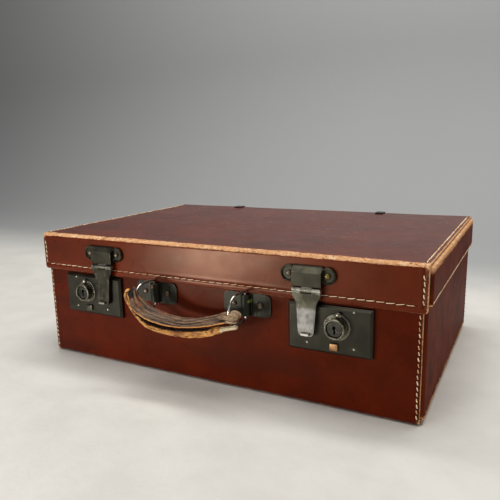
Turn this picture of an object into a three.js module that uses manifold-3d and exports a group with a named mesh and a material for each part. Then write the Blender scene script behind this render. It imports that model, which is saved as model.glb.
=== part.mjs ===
// A small hide suitcase: a base tray and an overhanging lid of folded, hand-stitched leather over
// board, two sliding-nozzle locks with hinged hasps, a handle on two wire rings, and two strap hinges.
// Millimetres. +X along the case, +Y to the back, +Z up. The origin is under the middle of the case.

import * as THREE from 'three';
import { mergeVertices } from 'three/addons/utils/BufferGeometryUtils.js';
import Module from 'manifold-3d';

const wasm = await Module();
wasm.setup();

// ---------------------------------------------------------------- driving dimensions

const HIDE = 2.2;              // thickness of the leather
const GAP = 0.3;               // space left between neighbouring pieces
const FOLD_RADIUS = 4;         // outside radius of the leather's folds
const FLAP = 16;               // width of the end panels' turned-in flaps
const LAYER = HIDE + GAP;      // from one layer of the wall to the next

const LID = {
  halfLength: 204,
  halfDepth: 136,
  rimZ: 94.3,                  // lower edge of the front and back
  endZ: 99.6,                  // lower edge of the end panels and flaps
  topZ: 133,
  liningWall: 1.2,
};

const BASE = {
  halfLength: 200.5,
  halfDepth: 133,
  topZ: 99.3,
  liningWall: 1.5,
  liningRimZ: 107.3,           // the lining board stands up inside the lid
};

const LOCK = {
  centreX: -5.2,
  spacing: 257.4,              // between the centres of the two lock plates
  z: 71.2,
  width: 73.2,
  height: 41.4,
  depth: 4.5,
  bevel: 2,
  wall: 1.1,
  boltZ: 5.75,                 // the bolt's middle, above the plate's centre
};

const NOZZLE = {
  x: 7.4,                      // from the plate's centre, away from the hasp
  z: 3.7,
  travel: 3,
  neckRadius: 5,
  skirtRadius: 11.6,
  skirtHeight: 1.5,
  rimRadius: 8.8,
  height: 8.2,
};

const HASP = {
  x: -18.2,                    // from the plate's centre
  axisY: -140.6,
  axisZ: 103.9,
  knuckleRadius: 2.2,
  boreRadius: 1.35,
  pinRadius: 1,
  halfWidth: 12.6,
  knuckleHalf: 4.6,            // half length of the bracket's middle knuckle
  earX: 17.1,
  earZ: 116.6,
  earRadius: 7.3,
  sheet: 1.2,
  rivetRadius: 2.6,
};

// The pressed box between the hasp's ears: its section in Y and Z, from top to bottom.
const HASP_BOX = {
  halfWidth: 12.9,
  frontY: -142.2,
  topZ: 124.2,
  shoulderZ: 119.1,
  faceLowZ: 107.4,
  bottomZ: 106.5,
};

// Half of the lever's front outline, [x, z], and its bent face, [y, z], both from the hinge down.
const LEVER_EDGE = [
  [12.6, 104], [12.6, 99.8], [12, 98.2], [10.4, 96], [9.3, 93.8], [8.7, 91],
  [8.1, 83], [7.2, 69.5], [6.4, 66.4], [4.4, 64.8],
];
const LEVER_FACE = [[-142.2, 104.5], [-141.9, 98], [-141.7, 88], [-143, 60]];
const LEVER = {
  wallY: -138.1,               // the flanges reach back to here, just clear of the lock plate
  frontY: -146,
  flangeTopZ: 96,
  stapleLowZ: 73.5,
  stapleHighZ: 79.5,
  stapleHalf: 2.5,
  lipHalf: 3.4,
};

const HANDLE = {
  centreX: -3.6,
  spacing: 99.6,               // between the two rings
  z: 83,
  plateWidth: 47,
  plateHeight: 21,
  plateThickness: 1.4,
  rivetX: 13.2,
  saddleRadius: 4.6,
  saddleWall: 1.2,
  saddleHeight: 19,
  crownY: -3.4,                // centre of the saddle's round crown, out from the leather
  rollDrop: 7.4,               // from the cover's middle line down to the roll's
  coverRadius: 7,
  rollRadius: 4.5,
};

// The middle line of the handle's cover, from its left end to its right.
const HANDLE_LINE = [
  [-56, -165.5, 90.5], [-55.4, -165.5, 83.8], [-50, -164.5, 76.8], [-41, -163, 71.2],
  [-29, -161.5, 67.1], [-15, -161, 64.1], [0, -161, 63.1], [13, -161, 64.5], [26, -161.5, 68.3],
  [37, -163, 72.8], [45.6, -164.5, 78], [48.4, -165.5, 83.6], [48.6, -165.5, 88.5],
];

const RING = {
  legY: -137.6,                // the straight leg inside the saddle
  bowY: -153.9,                // centre of the round bow, which is the handle's axis
  bowRadius: 13.6,
  cornerRadius: 3,
  wireRadius: 1.1,
};

const BACK_HINGE = {
  centreX: -4,
  spacing: 199.8,
  axisY: 139,
  axisZ: 92.5,
  knuckleRadius: 2.6,
  boreRadius: 1.5,
  pinRadius: 1.1,
  strapWidth: 9.5,
  leafWidth: 23,
  sheet: 1.2,
  strapReach: 16,              // along the lid's top
  leafLowZ: 52,
  leafBendZ: 84,
};

// ---------------------------------------------------------------- materials

function material(color, roughness, metalness) {
  return new THREE.MeshStandardMaterial({ color, roughness, metalness });
}

const hide = () => material(0x5f1d10, 0.42, 0);
const board = () => material(0x8a765a, 0.95, 0);
const lining = () => material(0xb08f62, 0.9, 0);
const gunmetal = () => material(0x3a3a30, 0.45, 0.85);
const steel = () => material(0x8d8c84, 0.35, 1);
const brass = () => material(0xa9793c, 0.5, 1);
const handleHide = () => material(0x6a4a33, 0.75, 0);
const handleRoll = () => material(0xb4712c, 0.6, 0);

// ---------------------------------------------------------------- solids

const AXES_YZ_ALONG_X = new THREE.Matrix4().makeBasis(
  new THREE.Vector3(0, 1, 0),
  new THREE.Vector3(0, 0, 1),
  new THREE.Vector3(1, 0, 0),
);
const AXES_XZ_ALONG_Y = new THREE.Matrix4().makeBasis(
  new THREE.Vector3(1, 0, 0),
  new THREE.Vector3(0, 0, 1),
  new THREE.Vector3(0, -1, 0),
);

function solid(geometry) {
  const bare = geometry.clone();
  bare.deleteAttribute('normal');
  bare.deleteAttribute('uv');
  const merged = mergeVertices(bare, 1e-4);
  return new wasm.Manifold(new wasm.Mesh({
    numProp: 3,
    vertProperties: merged.attributes.position.array,
    triVerts: merged.index.array,
  }));
}

function geometryOf(body) {
  const mesh = body.getMesh();
  const geometry = new THREE.BufferGeometry();
  geometry.setAttribute('position', new THREE.BufferAttribute(mesh.vertProperties, 3));
  geometry.setIndex(new THREE.BufferAttribute(mesh.triVerts, 1));
  geometry.computeVertexNormals();
  return geometry;
}

function block(xa, xb, ya, yb, za, zb) {
  const geometry = new THREE.BoxGeometry(Math.abs(xb - xa), Math.abs(yb - ya), Math.abs(zb - za));
  geometry.translate((xa + xb) / 2, (ya + yb) / 2, (za + zb) / 2);
  return solid(geometry);
}

function outlineOf(points) {
  return new THREE.Shape(points.map(([u, v]) => new THREE.Vector2(u, v)));
}

// An outline in Y and Z, drawn out along X.
function barAlongX(outline, xa, xb, bevel = 0) {
  const low = Math.min(xa, xb);
  const geometry = new THREE.ExtrudeGeometry(outline, extrudeOptions(Math.abs(xb - xa), bevel));
  geometry.translate(0, 0, low + bevel);
  geometry.applyMatrix4(AXES_YZ_ALONG_X);
  return solid(geometry);
}

// An outline in X and Z, drawn from yBack out to the front, yFront.
function plateAlongY(outline, yBack, yFront, bevel = 0) {
  const geometry = new THREE.ExtrudeGeometry(outline, extrudeOptions(yBack - yFront, bevel));
  geometry.translate(0, 0, -yBack + bevel);
  geometry.applyMatrix4(AXES_XZ_ALONG_Y);
  return solid(geometry);
}

// An outline in X and Y, drawn out along Z.
function postAlongZ(outline, za, zb) {
  const geometry = new THREE.ExtrudeGeometry(outline, extrudeOptions(zb - za, 0));
  geometry.translate(0, 0, za);
  return solid(geometry);
}

function extrudeOptions(length, bevel) {
  return {
    depth: length - 2 * bevel,
    bevelEnabled: bevel > 0,
    bevelThickness: bevel,
    bevelSize: bevel,
    bevelOffset: -bevel,
    bevelSegments: 2,
    curveSegments: 6,
  };
}

function rodAlongX(radius, xa, xb, y, z, sides = 16) {
  const geometry = new THREE.CylinderGeometry(radius, radius, Math.abs(xb - xa), sides);
  geometry.rotateZ(Math.PI / 2);
  geometry.translate((xa + xb) / 2, y, z);
  return solid(geometry);
}

// A turned piece on an axis along Y. Each point is [radius, distance out from the wall].
function turned(points, x, y, z, sides = 28) {
  const geometry = new THREE.LatheGeometry(points.map(([r, out]) => new THREE.Vector2(r, out)), sides);
  geometry.rotateX(Math.PI);
  geometry.translate(x, y, z);
  return facingOut(geometry);
}

// A solid whose faces point out, whichever way round its triangles were made.
function facingOut(geometry) {
  const body = solid(geometry);
  if (body.volume() > 0) {
    return body;
  }
  const index = geometry.index.array;
  for (let corner = 0; corner < index.length; corner += 3) {
    [index[corner + 1], index[corner + 2]] = [index[corner + 2], index[corner + 1]];
  }
  return solid(geometry);
}

function domeRivet(radius, height, x, y, z, sides = 16) {
  const points = [[0, 0], [radius, 0]];
  const steps = 4;
  for (let step = 0; step < steps; step += 1) {
    const angle = (Math.PI / 2) * (step / steps);
    points.push([radius * Math.cos(angle), 0.4 + height * Math.sin(angle)]);
  }
  points.push([0, 0.4 + height]);
  return turned(points, x, y, z, sides);
}

function roundedRectangle(halfWidth, halfHeight, radius, steps = 5) {
  const points = [];
  for (const quarter of [0, 1, 2, 3]) {
    const right = quarter === 0 || quarter === 3 ? 1 : -1;
    const upper = quarter < 2 ? 1 : -1;
    for (let step = 0; step <= steps; step += 1) {
      const angle = (Math.PI / 2) * (quarter + step / steps);
      points.push([
        right * (halfWidth - radius) + radius * Math.cos(angle),
        upper * (halfHeight - radius) + radius * Math.sin(angle),
      ]);
    }
  }
  return outlineOf(points);
}

function place(group, name, body, look) {
  const mesh = new THREE.Mesh(geometryOf(body), look);
  mesh.name = name;
  group.add(mesh);
}

// ---------------------------------------------------------------- leather, boards and linings

// The outline, in Y and Z, of one sheet folded as front, closed side and back.
function foldedSheet(halfDepth, openZ, closedZ, radius, thickness) {
  const turn = Math.sign(closedZ - openZ);
  const points = [];
  const addFold = (centreY, side, foldRadius, reverse) => {
    const steps = 4;
    for (let step = 0; step <= steps; step += 1) {
      const share = reverse ? 1 - step / steps : step / steps;
      const angle = (Math.PI / 2) * share;
      const y = centreY + side * foldRadius * Math.cos(angle);
      const z = closedZ - turn * radius + turn * foldRadius * Math.sin(angle);
      points.push([y, z]);
    }
  };
  const centre = halfDepth - radius;
  points.push([-halfDepth, openZ]);
  addFold(-centre, -1, radius, false);
  addFold(centre, 1, radius, true);
  points.push([halfDepth, openZ]);
  points.push([halfDepth - thickness, openZ]);
  addFold(centre, 1, radius - thickness, false);
  addFold(-centre, -1, radius - thickness, true);
  points.push([-halfDepth + thickness, openZ]);
  return outlineOf(points);
}

function wrap(part, openZ, closedZ) {
  const rawEdge = part.halfLength - LAYER;
  return barAlongX(foldedSheet(part.halfDepth, openZ, closedZ, FOLD_RADIUS, HIDE), -rawEdge, rawEdge);
}

function stiffener(part, openZ, closedZ) {
  const halfDepth = part.halfDepth - LAYER;
  const layerZ = closedZ - Math.sign(closedZ - openZ) * LAYER;
  const end = part.halfLength - FLAP - GAP;
  return barAlongX(foldedSheet(halfDepth, openZ, layerZ, FOLD_RADIUS - LAYER + 1.2, HIDE), -end, end);
}

// An end wall with its flaps turned in behind the wrap at the front, the closed side and the back.
function endPanel(part, side, openZ, closedZ) {
  const turn = Math.sign(closedZ - openZ);
  const halfDepth = part.halfDepth - LAYER;
  const layerZ = closedZ - turn * LAYER;
  const flapEnd = part.halfLength - FLAP;
  const middleZ = (openZ + layerZ) / 2;
  const outline = roundedRectangle(halfDepth, Math.abs(layerZ - openZ) / 2, 2.5);
  const outside = barAlongX(outline, side * (flapEnd - 10), side * part.halfLength, 1.8)
    .translate(0, 0, middleZ);
  const rounded = block(
    side * (flapEnd - 12), side * flapEnd,
    -halfDepth - 1, halfDepth + 1,
    openZ - turn * 5, closedZ + turn * 5,
  );
  const hollow = block(
    side * (flapEnd - 12), side * (part.halfLength - HIDE),
    -halfDepth + HIDE, halfDepth - HIDE,
    openZ - turn * 5, layerZ - turn * HIDE,
  );
  return outside.subtract(rounded).subtract(hollow);
}

function tray(halfLength, halfDepth, openZ, closedZ, wall) {
  const turn = Math.sign(closedZ - openZ);
  const outside = block(-halfLength, halfLength, -halfDepth, halfDepth, openZ, closedZ);
  const inside = block(
    -halfLength + wall, halfLength - wall,
    -halfDepth + wall, halfDepth - wall,
    openZ - turn, closedZ - turn * wall,
  );
  return outside.subtract(inside);
}

function addBaseShell(group) {
  place(group, 'base_wrap', wrap(BASE, BASE.topZ, 0), hide());
  place(group, 'base_board', stiffener(BASE, BASE.topZ, 0), board());
  place(group, 'base_end_left', endPanel(BASE, -1, BASE.topZ, 0), hide());
  place(group, 'base_end_right', endPanel(BASE, 1, BASE.topZ, 0), hide());
  const halfLength = BASE.halfLength - LAYER;
  const halfDepth = BASE.halfDepth - 2 * LAYER;
  const body = tray(halfLength, halfDepth, BASE.liningRimZ, 2 * LAYER, BASE.liningWall);
  place(group, 'base_lining', body, lining());
}

function addLidShell(group) {
  place(group, 'lid_wrap', wrap(LID, LID.rimZ, LID.topZ), hide());
  place(group, 'lid_board', stiffener(LID, LID.endZ, LID.topZ), board());
  place(group, 'lid_end_left', endPanel(LID, -1, LID.endZ, LID.topZ), hide());
  place(group, 'lid_end_right', endPanel(LID, 1, LID.endZ, LID.topZ), hide());
  const halfLength = LID.halfLength - LAYER;
  const halfDepth = LID.halfDepth - 2 * LAYER;
  const body = tray(halfLength, halfDepth, LID.endZ + 0.4, LID.topZ - 2 * LAYER, LID.liningWall);
  place(group, 'lid_lining', body, lining());
}

// ---------------------------------------------------------------- locks

// Each lock is drawn about its plate's centre, with y = 0 on the leather. side is -1 on the left.
function lockPan(side) {
  const front = -GAP - LOCK.depth;
  const section = (half) => [
    [-GAP, -half], [front + LOCK.bevel, -half], [front, -half + LOCK.bevel],
    [front, half - LOCK.bevel], [front + LOCK.bevel, half], [-GAP, half],
  ];
  const acrossPlate = section(LOCK.width / 2).map(([y, x]) => [x, y]);
  const pressed = barAlongX(outlineOf(section(LOCK.height / 2)), -LOCK.width / 2, LOCK.width / 2)
    .intersect(postAlongZ(outlineOf(acrossPlate), -LOCK.height / 2, LOCK.height / 2));
  const edge = LOCK.bevel + 0.6;
  const works = block(
    -LOCK.width / 2 + edge, LOCK.width / 2 - edge,
    1, -GAP - LOCK.depth + LOCK.wall,
    -LOCK.height / 2 + edge, LOCK.height / 2 - edge,
  );
  const reach = NOZZLE.neckRadius + GAP;
  const nozzleX = side * (NOZZLE.x + NOZZLE.travel / 2);
  const nozzleSlot = plateAlongY(roundedRectangle(reach + NOZZLE.travel / 2, reach, reach - 0.6), 1, -9)
    .translate(nozzleX, 0, NOZZLE.z);
  const stapleSlot = block(side * HASP.x - 3.2, side * HASP.x + 3.2, 1, -9, -5, 5)
    .translate(0, 0, LOCK.boltZ);
  let body = pressed.subtract(works).subtract(nozzleSlot).subtract(stapleSlot);
  for (const [x, z] of [[21.4, 17.9], [21.8, -13.4], [-18.8, -13.1]]) {
    body = body.add(domeRivet(1.1, 0.7, side * x, -LOCK.depth + 0.1, z, 10));
  }
  return body;
}

function nozzle(side) {
  const face = GAP + LOCK.depth;
  const rim = face + NOZZLE.height;
  const r = NOZZLE.rimRadius;
  const points = [
    [0, 2.7],
    [NOZZLE.neckRadius, 2.7],
    [NOZZLE.neckRadius, face + GAP],
    [NOZZLE.skirtRadius, face + GAP],
    [NOZZLE.skirtRadius, face + 0.9],
    [NOZZLE.skirtRadius - 0.7, face + NOZZLE.skirtHeight],
    [r - 0.2, face + NOZZLE.skirtHeight],
    [r - 0.2, rim - 2],
    [r, rim - 1.4],
    [r, rim - 0.6],
    [r - 0.5, rim],
    [r - 1.3, rim],
    [r - 1.8, rim - 0.5],
    [r - 1.8, face + 3.6],
    [0, face + 3.6],
  ];
  return turned(points, side * NOZZLE.x, 0, NOZZLE.z, 36);
}

function keyPlug(side) {
  const back = GAP + LOCK.depth + 3.6 + GAP;
  const front = GAP + LOCK.depth + NOZZLE.height - 1.4;
  const radius = NOZZLE.rimRadius - 1.8 - GAP;
  const points = [[0, back], [radius, back], [radius, front - 0.4], [radius - 0.5, front], [0, front]];
  const x = side * NOZZLE.x;
  const keyhole = turned([[0, 0], [1.8, 0], [1.8, 30], [0, 30]], x, 0, NOZZLE.z + 1.3, 14);
  const keySlot = block(x - 0.85, x + 0.85, 0, -30, NOZZLE.z - 4.2, NOZZLE.z + 1.3);
  return turned(points, x, 0, NOZZLE.z, 28).subtract(keyhole).subtract(keySlot);
}

function lockBolt(side) {
  const outer = side * (NOZZLE.x + 6);
  const inner = side * (HASP.x - 2);
  const bar = block(outer, inner, -1.4, -2.4, -3.5, 3.5);
  const foot = block(outer, side * (NOZZLE.x - 6), -1.4, -2.4, -8.5, 3.5);
  return bar.add(foot).translate(0, 0, LOCK.boltZ);
}

function boltSpring(side) {
  const near = side * (NOZZLE.x + 6.4);
  const far = side * 31;
  const points = [
    [far, 3.5], [near, -2.1], [near, -2.9], [far, -8.5], [far, -7.5], [near + side * 1.4, -2.5], [far, 2.5],
  ];
  return plateAlongY(outlineOf(points), -1.3, -3.3).translate(0, 0, LOCK.boltZ);
}

// A stud on the nozzle's skirt, cut away where it meets the barrel.
function nozzleStud(side) {
  const seat = GAP + LOCK.depth + NOZZLE.skirtHeight + GAP;
  const barrel = turned(
    [[0, 0], [NOZZLE.rimRadius + GAP, 0], [NOZZLE.rimRadius + GAP, 30], [0, 30]],
    side * NOZZLE.x, 0, NOZZLE.z, 36,
  );
  return domeRivet(2.7, 1.6, side * (NOZZLE.x + 1.6), -seat, NOZZLE.z + 10.6).subtract(barrel);
}

function addLock(group, side, suffix) {
  const centre = new THREE.Group();
  centre.position.set(LOCK.centreX + (side * LOCK.spacing) / 2, -BASE.halfDepth, LOCK.z);
  group.add(centre);
  place(centre, `lock_plate_${suffix}`, lockPan(side), gunmetal());
  const edge = LOCK.bevel + 0.6 + GAP;
  const back = block(
    -LOCK.width / 2 + edge, LOCK.width / 2 - edge,
    -GAP, -GAP - 0.8,
    -LOCK.height / 2 + edge, LOCK.height / 2 - edge,
  );
  place(centre, `lock_back_${suffix}`, back, steel());
  place(centre, `lock_nozzle_${suffix}`, nozzle(side), gunmetal());
  place(centre, `key_plug_${suffix}`, keyPlug(side), gunmetal());
  place(centre, `lock_bolt_${suffix}`, lockBolt(side), steel());
  place(centre, `bolt_spring_${suffix}`, boltSpring(side), steel());
  place(centre, `lock_stud_${suffix}`, nozzleStud(side), steel());
  const faceY = -GAP - LOCK.depth - GAP;
  const lugOutline = roundedRectangle(3.5, 3.1, 0.8, 2);
  const lug = plateAlongY(lugOutline, faceY, faceY - 1.8, 0.5)
    .translate(side * (NOZZLE.x - 2.4), 0, NOZZLE.z - 17.3);
  place(centre, `lock_lug_${suffix}`, lug, brass());
}

// ---------------------------------------------------------------- hasps, hinged on the lid

// Each hasp is drawn about its own middle in X; y and z are the case's.
function haspBracket() {
  const plateBack = -LID.halfDepth - GAP;
  const plateFront = plateBack - HASP.sheet;
  const ear = (x) => turned(
    [[0, 0], [HASP.earRadius, 0], [HASP.earRadius, 2.2], [HASP.earRadius - 0.8, 2.8],
      [HASP.earRadius - 1.6, 2.2], [HASP.earRadius - 2, HASP.sheet], [0, HASP.sheet]],
    x, plateBack, HASP.earZ, 24,
  );
  const bridge = block(-HASP.earX, HASP.earX, plateBack, plateFront, HASP.earZ - 6, HASP.earZ + 6);
  const box = barAlongX(haspBoxSection(0), -HASP_BOX.halfWidth, HASP_BOX.halfWidth);
  const inside = HASP_BOX.halfWidth - HASP.sheet;
  const hollow = barAlongX(haspBoxSection(HASP.sheet), -inside, inside);
  const { axisY, axisZ, knuckleHalf } = HASP;
  const knuckle = rodAlongX(HASP.knuckleRadius, -knuckleHalf, knuckleHalf, axisY, axisZ);
  const neck = block(-knuckleHalf, knuckleHalf, axisY - 0.6, axisY + 2, axisZ, HASP_BOX.bottomZ + 1);
  return ear(-HASP.earX).add(ear(HASP.earX)).add(bridge)
    .add(box.subtract(hollow)).add(knuckle).add(neck).subtract(haspBore());
}

function haspBoxSection(wall) {
  const wallY = -LID.halfDepth - GAP;
  const backY = wall > 0 ? wallY + 1 : wallY;
  const { frontY, topZ, shoulderZ, faceLowZ, bottomZ } = HASP_BOX;
  return outlineOf([
    [backY, topZ - wall], [wallY - 1.6, topZ - wall], [frontY + wall, shoulderZ - wall / 3],
    [frontY + wall, faceLowZ + wall / 3], [frontY + 2 + wall / 3, bottomZ + wall], [backY, bottomZ + wall],
  ]);
}

function haspBore() {
  const reach = HASP.halfWidth + 5;
  return rodAlongX(HASP.boreRadius, -reach, reach, HASP.axisY, HASP.axisZ);
}

// The lever's front outline at a distance inside its edge.
function leverOutline(inset) {
  const tipZ = LEVER_EDGE[LEVER_EDGE.length - 1][1];
  const right = LEVER_EDGE.map(([x, z]) => [x - inset, z === tipZ ? z + inset : z]);
  const left = right.slice().reverse().map(([x, z]) => [-x, z]);
  return outlineOf(right.concat(left));
}

function haspLever() {
  const wide = HASP.halfWidth + 2;
  const back = LEVER_FACE.slice().reverse().map(([y, z]) => [y + HASP.sheet, z]);
  const bent = barAlongX(outlineOf(LEVER_FACE.concat(back)), -wide, wide);
  const front = plateAlongY(leverOutline(0), LEVER.wallY, LEVER.frontY);
  const inner = plateAlongY(leverOutline(HASP.sheet), LEVER.wallY + 5, LEVER.frontY - 5);
  const behind = barAlongX(outlineOf([
    [-141.4, LEVER.flangeTopZ], [-141.3, 88], [-142.4, 60],
    [LEVER.wallY, 60], [LEVER.wallY, LEVER.flangeTopZ],
  ]), -wide, wide);
  const notchHalf = HASP.knuckleHalf + GAP;
  const notch = block(-notchHalf, notchHalf, -150, -130, HASP.axisZ - 2.6, HASP.axisZ + 7);
  const sheet = bent.intersect(front).subtract(notch);
  const flanges = front.subtract(inner).intersect(behind);
  const staple = block(
    -LEVER.stapleHalf, LEVER.stapleHalf, -142, LEVER.wallY - 0.1, LEVER.stapleLowZ, LEVER.stapleHighZ,
  );
  const lip = barAlongX(outlineOf([
    [-142.2, 68.4], [-145.5, 67.6], [-146, 66.2], [-142.2, 65.6],
  ]), -LEVER.lipHalf, LEVER.lipHalf);
  const knuckles = [-1, 1].map((side) => rodAlongX(
    HASP.knuckleRadius, side * notchHalf, side * HASP.halfWidth, HASP.axisY, HASP.axisZ,
  ));
  const above = block(-wide, wide, -150, -130, HASP.axisZ, HASP.axisZ + 5);
  return sheet.subtract(above).add(knuckles[0]).add(knuckles[1])
    .add(flanges).add(staple).add(lip).subtract(haspBore());
}

function addHasp(group, side, suffix) {
  const centre = new THREE.Group();
  centre.position.x = LOCK.centreX + side * (LOCK.spacing / 2 + HASP.x);
  group.add(centre);
  place(centre, `hasp_bracket_${suffix}`, haspBracket(), gunmetal());
  place(centre, `hasp_lever_${suffix}`, haspLever(), gunmetal());
  const pin = rodAlongX(HASP.pinRadius, -HASP.halfWidth, HASP.halfWidth, HASP.axisY, HASP.axisZ);
  place(centre, `hasp_pin_${suffix}`, pin, steel());
  const faceY = -LID.halfDepth - GAP - HASP.sheet - GAP;
  for (const [name, x] of [['outer', side], ['inner', -side]]) {
    const rivet = domeRivet(HASP.rivetRadius, 1.7, x * HASP.earX, faceY, HASP.earZ);
    place(centre, `hasp_rivet_${name}_${suffix}`, rivet, brass());
  }
}

// ---------------------------------------------------------------- handle plates, rings and handle

function handlePlate() {
  const sheet = plateAlongY(
    roundedRectangle(HANDLE.plateWidth / 2, HANDLE.plateHeight / 2, 5.5), -GAP, -GAP - HANDLE.plateThickness,
  );
  const outer = saddleOutline(HANDLE.saddleRadius, -GAP);
  const inner = saddleOutline(HANDLE.saddleRadius - HANDLE.saddleWall, 3);
  const half = HANDLE.saddleHeight / 2;
  return sheet.add(postAlongZ(outer, -half, half)).subtract(postAlongZ(inner, -half - 5, half + 5));
}

// A tunnel's section in X and Y, open at yOpen and with a round crown.
function saddleOutline(radius, yOpen) {
  const points = [[radius, yOpen]];
  const steps = 8;
  for (let step = 0; step <= steps; step += 1) {
    const angle = (Math.PI * step) / steps;
    points.push([radius * Math.cos(angle), HANDLE.crownY - radius * Math.sin(angle)]);
  }
  points.push([-radius, yOpen]);
  return outlineOf(points);
}

// The middle line of a wire ring in the plane X = 0: a straight leg in the saddle, two short arms
// and a round bow.
function ringLine() {
  const { legY, bowY, bowRadius, cornerRadius } = RING;
  const points = [];
  const addArc = (centreY, centreZ, radius, from, to, steps) => {
    for (let step = 0; step <= steps; step += 1) {
      const angle = from + ((to - from) * step) / steps;
      points.push(new THREE.Vector3(
        0, centreY + radius * Math.cos(angle), centreZ + radius * Math.sin(angle),
      ));
    }
  };
  const corner = bowRadius - cornerRadius;
  addArc(legY - cornerRadius, corner, cornerRadius, 0, Math.PI / 2, 3);
  addArc(bowY, 0, bowRadius, Math.PI / 2, 1.5 * Math.PI, 14);
  addArc(legY - cornerRadius, -corner, cornerRadius, -Math.PI / 2, 0, 3);
  points.push(new THREE.Vector3(0, legY, -corner / 2));
  points.push(new THREE.Vector3(0, legY, corner / 2));
  return points;
}

// A torus whose rings are moved, one by one, onto the wire's middle line.
function wireRing() {
  const line = ringLine();
  const sides = 8;
  const geometry = new THREE.TorusGeometry(1, 0.2, sides, line.length);
  const { position, uv } = geometry.attributes;
  const across = new THREE.Vector3(1, 0, 0);
  for (let index = 0; index < position.count; index += 1) {
    const at = Math.round(uv.getX(index) * line.length) % line.length;
    const before = line[(at + line.length - 1) % line.length];
    const after = line[(at + 1) % line.length];
    const outward = after.clone().sub(before).normalize().cross(across);
    const angle = 2 * Math.PI * Math.round(uv.getY(index) * sides) / sides;
    const place = line[at].clone();
    place.addScaledVector(outward, RING.wireRadius * Math.cos(angle));
    place.addScaledVector(across, RING.wireRadius * Math.sin(angle));
    position.setXYZ(index, place.x, place.y, place.z);
  }
  return facingOut(geometry);
}

function addHandleMount(group, side, suffix) {
  const x = HANDLE.centreX + (side * HANDLE.spacing) / 2;
  const centre = new THREE.Group();
  centre.position.set(x, -BASE.halfDepth, HANDLE.z);
  group.add(centre);
  place(centre, `handle_plate_${suffix}`, handlePlate(), gunmetal());
  const faceY = -GAP - HANDLE.plateThickness - GAP;
  for (const [name, out] of [['outer', side], ['inner', -side]]) {
    const rivet = domeRivet(2.6, 1.5, out * HANDLE.rivetX, faceY, 0);
    place(centre, `handle_rivet_${name}_${suffix}`, rivet, steel());
  }
  const ringGroup = new THREE.Group();
  ringGroup.position.set(x, 0, HANDLE.z);
  group.add(ringGroup);
  place(ringGroup, `handle_ring_${suffix}`, wireRing(), steel());
}

// A turned spindle, bent so that its axis follows a curve.
function bentSpindle(curve, radiusAt, flatness, steps = 26, sides = 12) {
  const profile = [new THREE.Vector2(0, 0)];
  for (let step = 0; step <= steps; step += 1) {
    profile.push(new THREE.Vector2(radiusAt(step / steps), step / steps));
  }
  profile.push(new THREE.Vector2(0, 1));
  const geometry = new THREE.LatheGeometry(profile, sides);
  const position = geometry.attributes.position;
  const across = new THREE.Vector3(0, 1, 0);
  for (let index = 0; index < position.count; index += 1) {
    const share = position.getY(index);
    const centre = curve.getPointAt(share);
    const along = curve.getTangentAt(share);
    const up = along.clone().cross(across).normalize();
    centre.addScaledVector(up, position.getX(index));
    centre.addScaledVector(across, position.getZ(index) * flatness);
    position.setXYZ(index, centre.x, centre.y, centre.z);
  }
  return facingOut(geometry);
}

// The two halves of the handle follow the same sagging line, one above the other.
function handleLine(drop, trim) {
  const last = HANDLE_LINE.length - 1;
  const line = HANDLE_LINE.map(([x, y, z], index) => {
    const share = index / last;
    const sag = drop * Math.min(1, 4 * share, 4 * (1 - share));
    const tilt = (0.5 - share) * 2;
    return new THREE.Vector3(x - Math.sign(tilt) * Math.abs(tilt) ** 3 * sag * 0.8, y, z - sag);
  });
  return new THREE.CatmullRomCurve3(line.slice(trim, HANDLE_LINE.length - trim));
}

// The way of the ring's bow through the leather: a ring-shaped groove about the handle's axis.
function bowGroove(x) {
  const clearance = RING.wireRadius + 0.5;
  const y = RING.bowY;
  const outer = rodAlongX(RING.bowRadius + clearance, x - clearance, x + clearance, y, HANDLE.z, 48);
  const inner = rodAlongX(RING.bowRadius - clearance, x - 5, x + 5, y, HANDLE.z, 48);
  return outer.subtract(inner);
}

function addHandle(group) {
  const coverRadius = (share) => {
    const swell = 0.6 * (Math.sin(Math.PI * share) - 1);
    return HANDLE.coverRadius + swell - 2.4 * Math.abs(2 * share - 1) ** 12;
  };
  const rollRadius = (share) => HANDLE.rollRadius - 1.6 * Math.abs(2 * share - 1) ** 4;
  const rollLine = handleLine(HANDLE.rollDrop, 1);
  const rollBed = bentSpindle(rollLine, (share) => rollRadius(share) + 0.4, 1.25, 24, 10);
  let cover = bentSpindle(handleLine(0, 0), coverRadius, 1.15).subtract(rollBed);
  let roll = bentSpindle(rollLine, rollRadius, 1.2, 24, 10);
  for (const side of [-1, 1]) {
    const groove = bowGroove(HANDLE.centreX + (side * HANDLE.spacing) / 2);
    cover = cover.subtract(groove);
    roll = roll.subtract(groove);
  }
  place(group, 'handle_cover', cover, handleHide());
  place(group, 'handle_roll', roll, handleRoll());
}

// ---------------------------------------------------------------- strap hinges at the back

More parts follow.
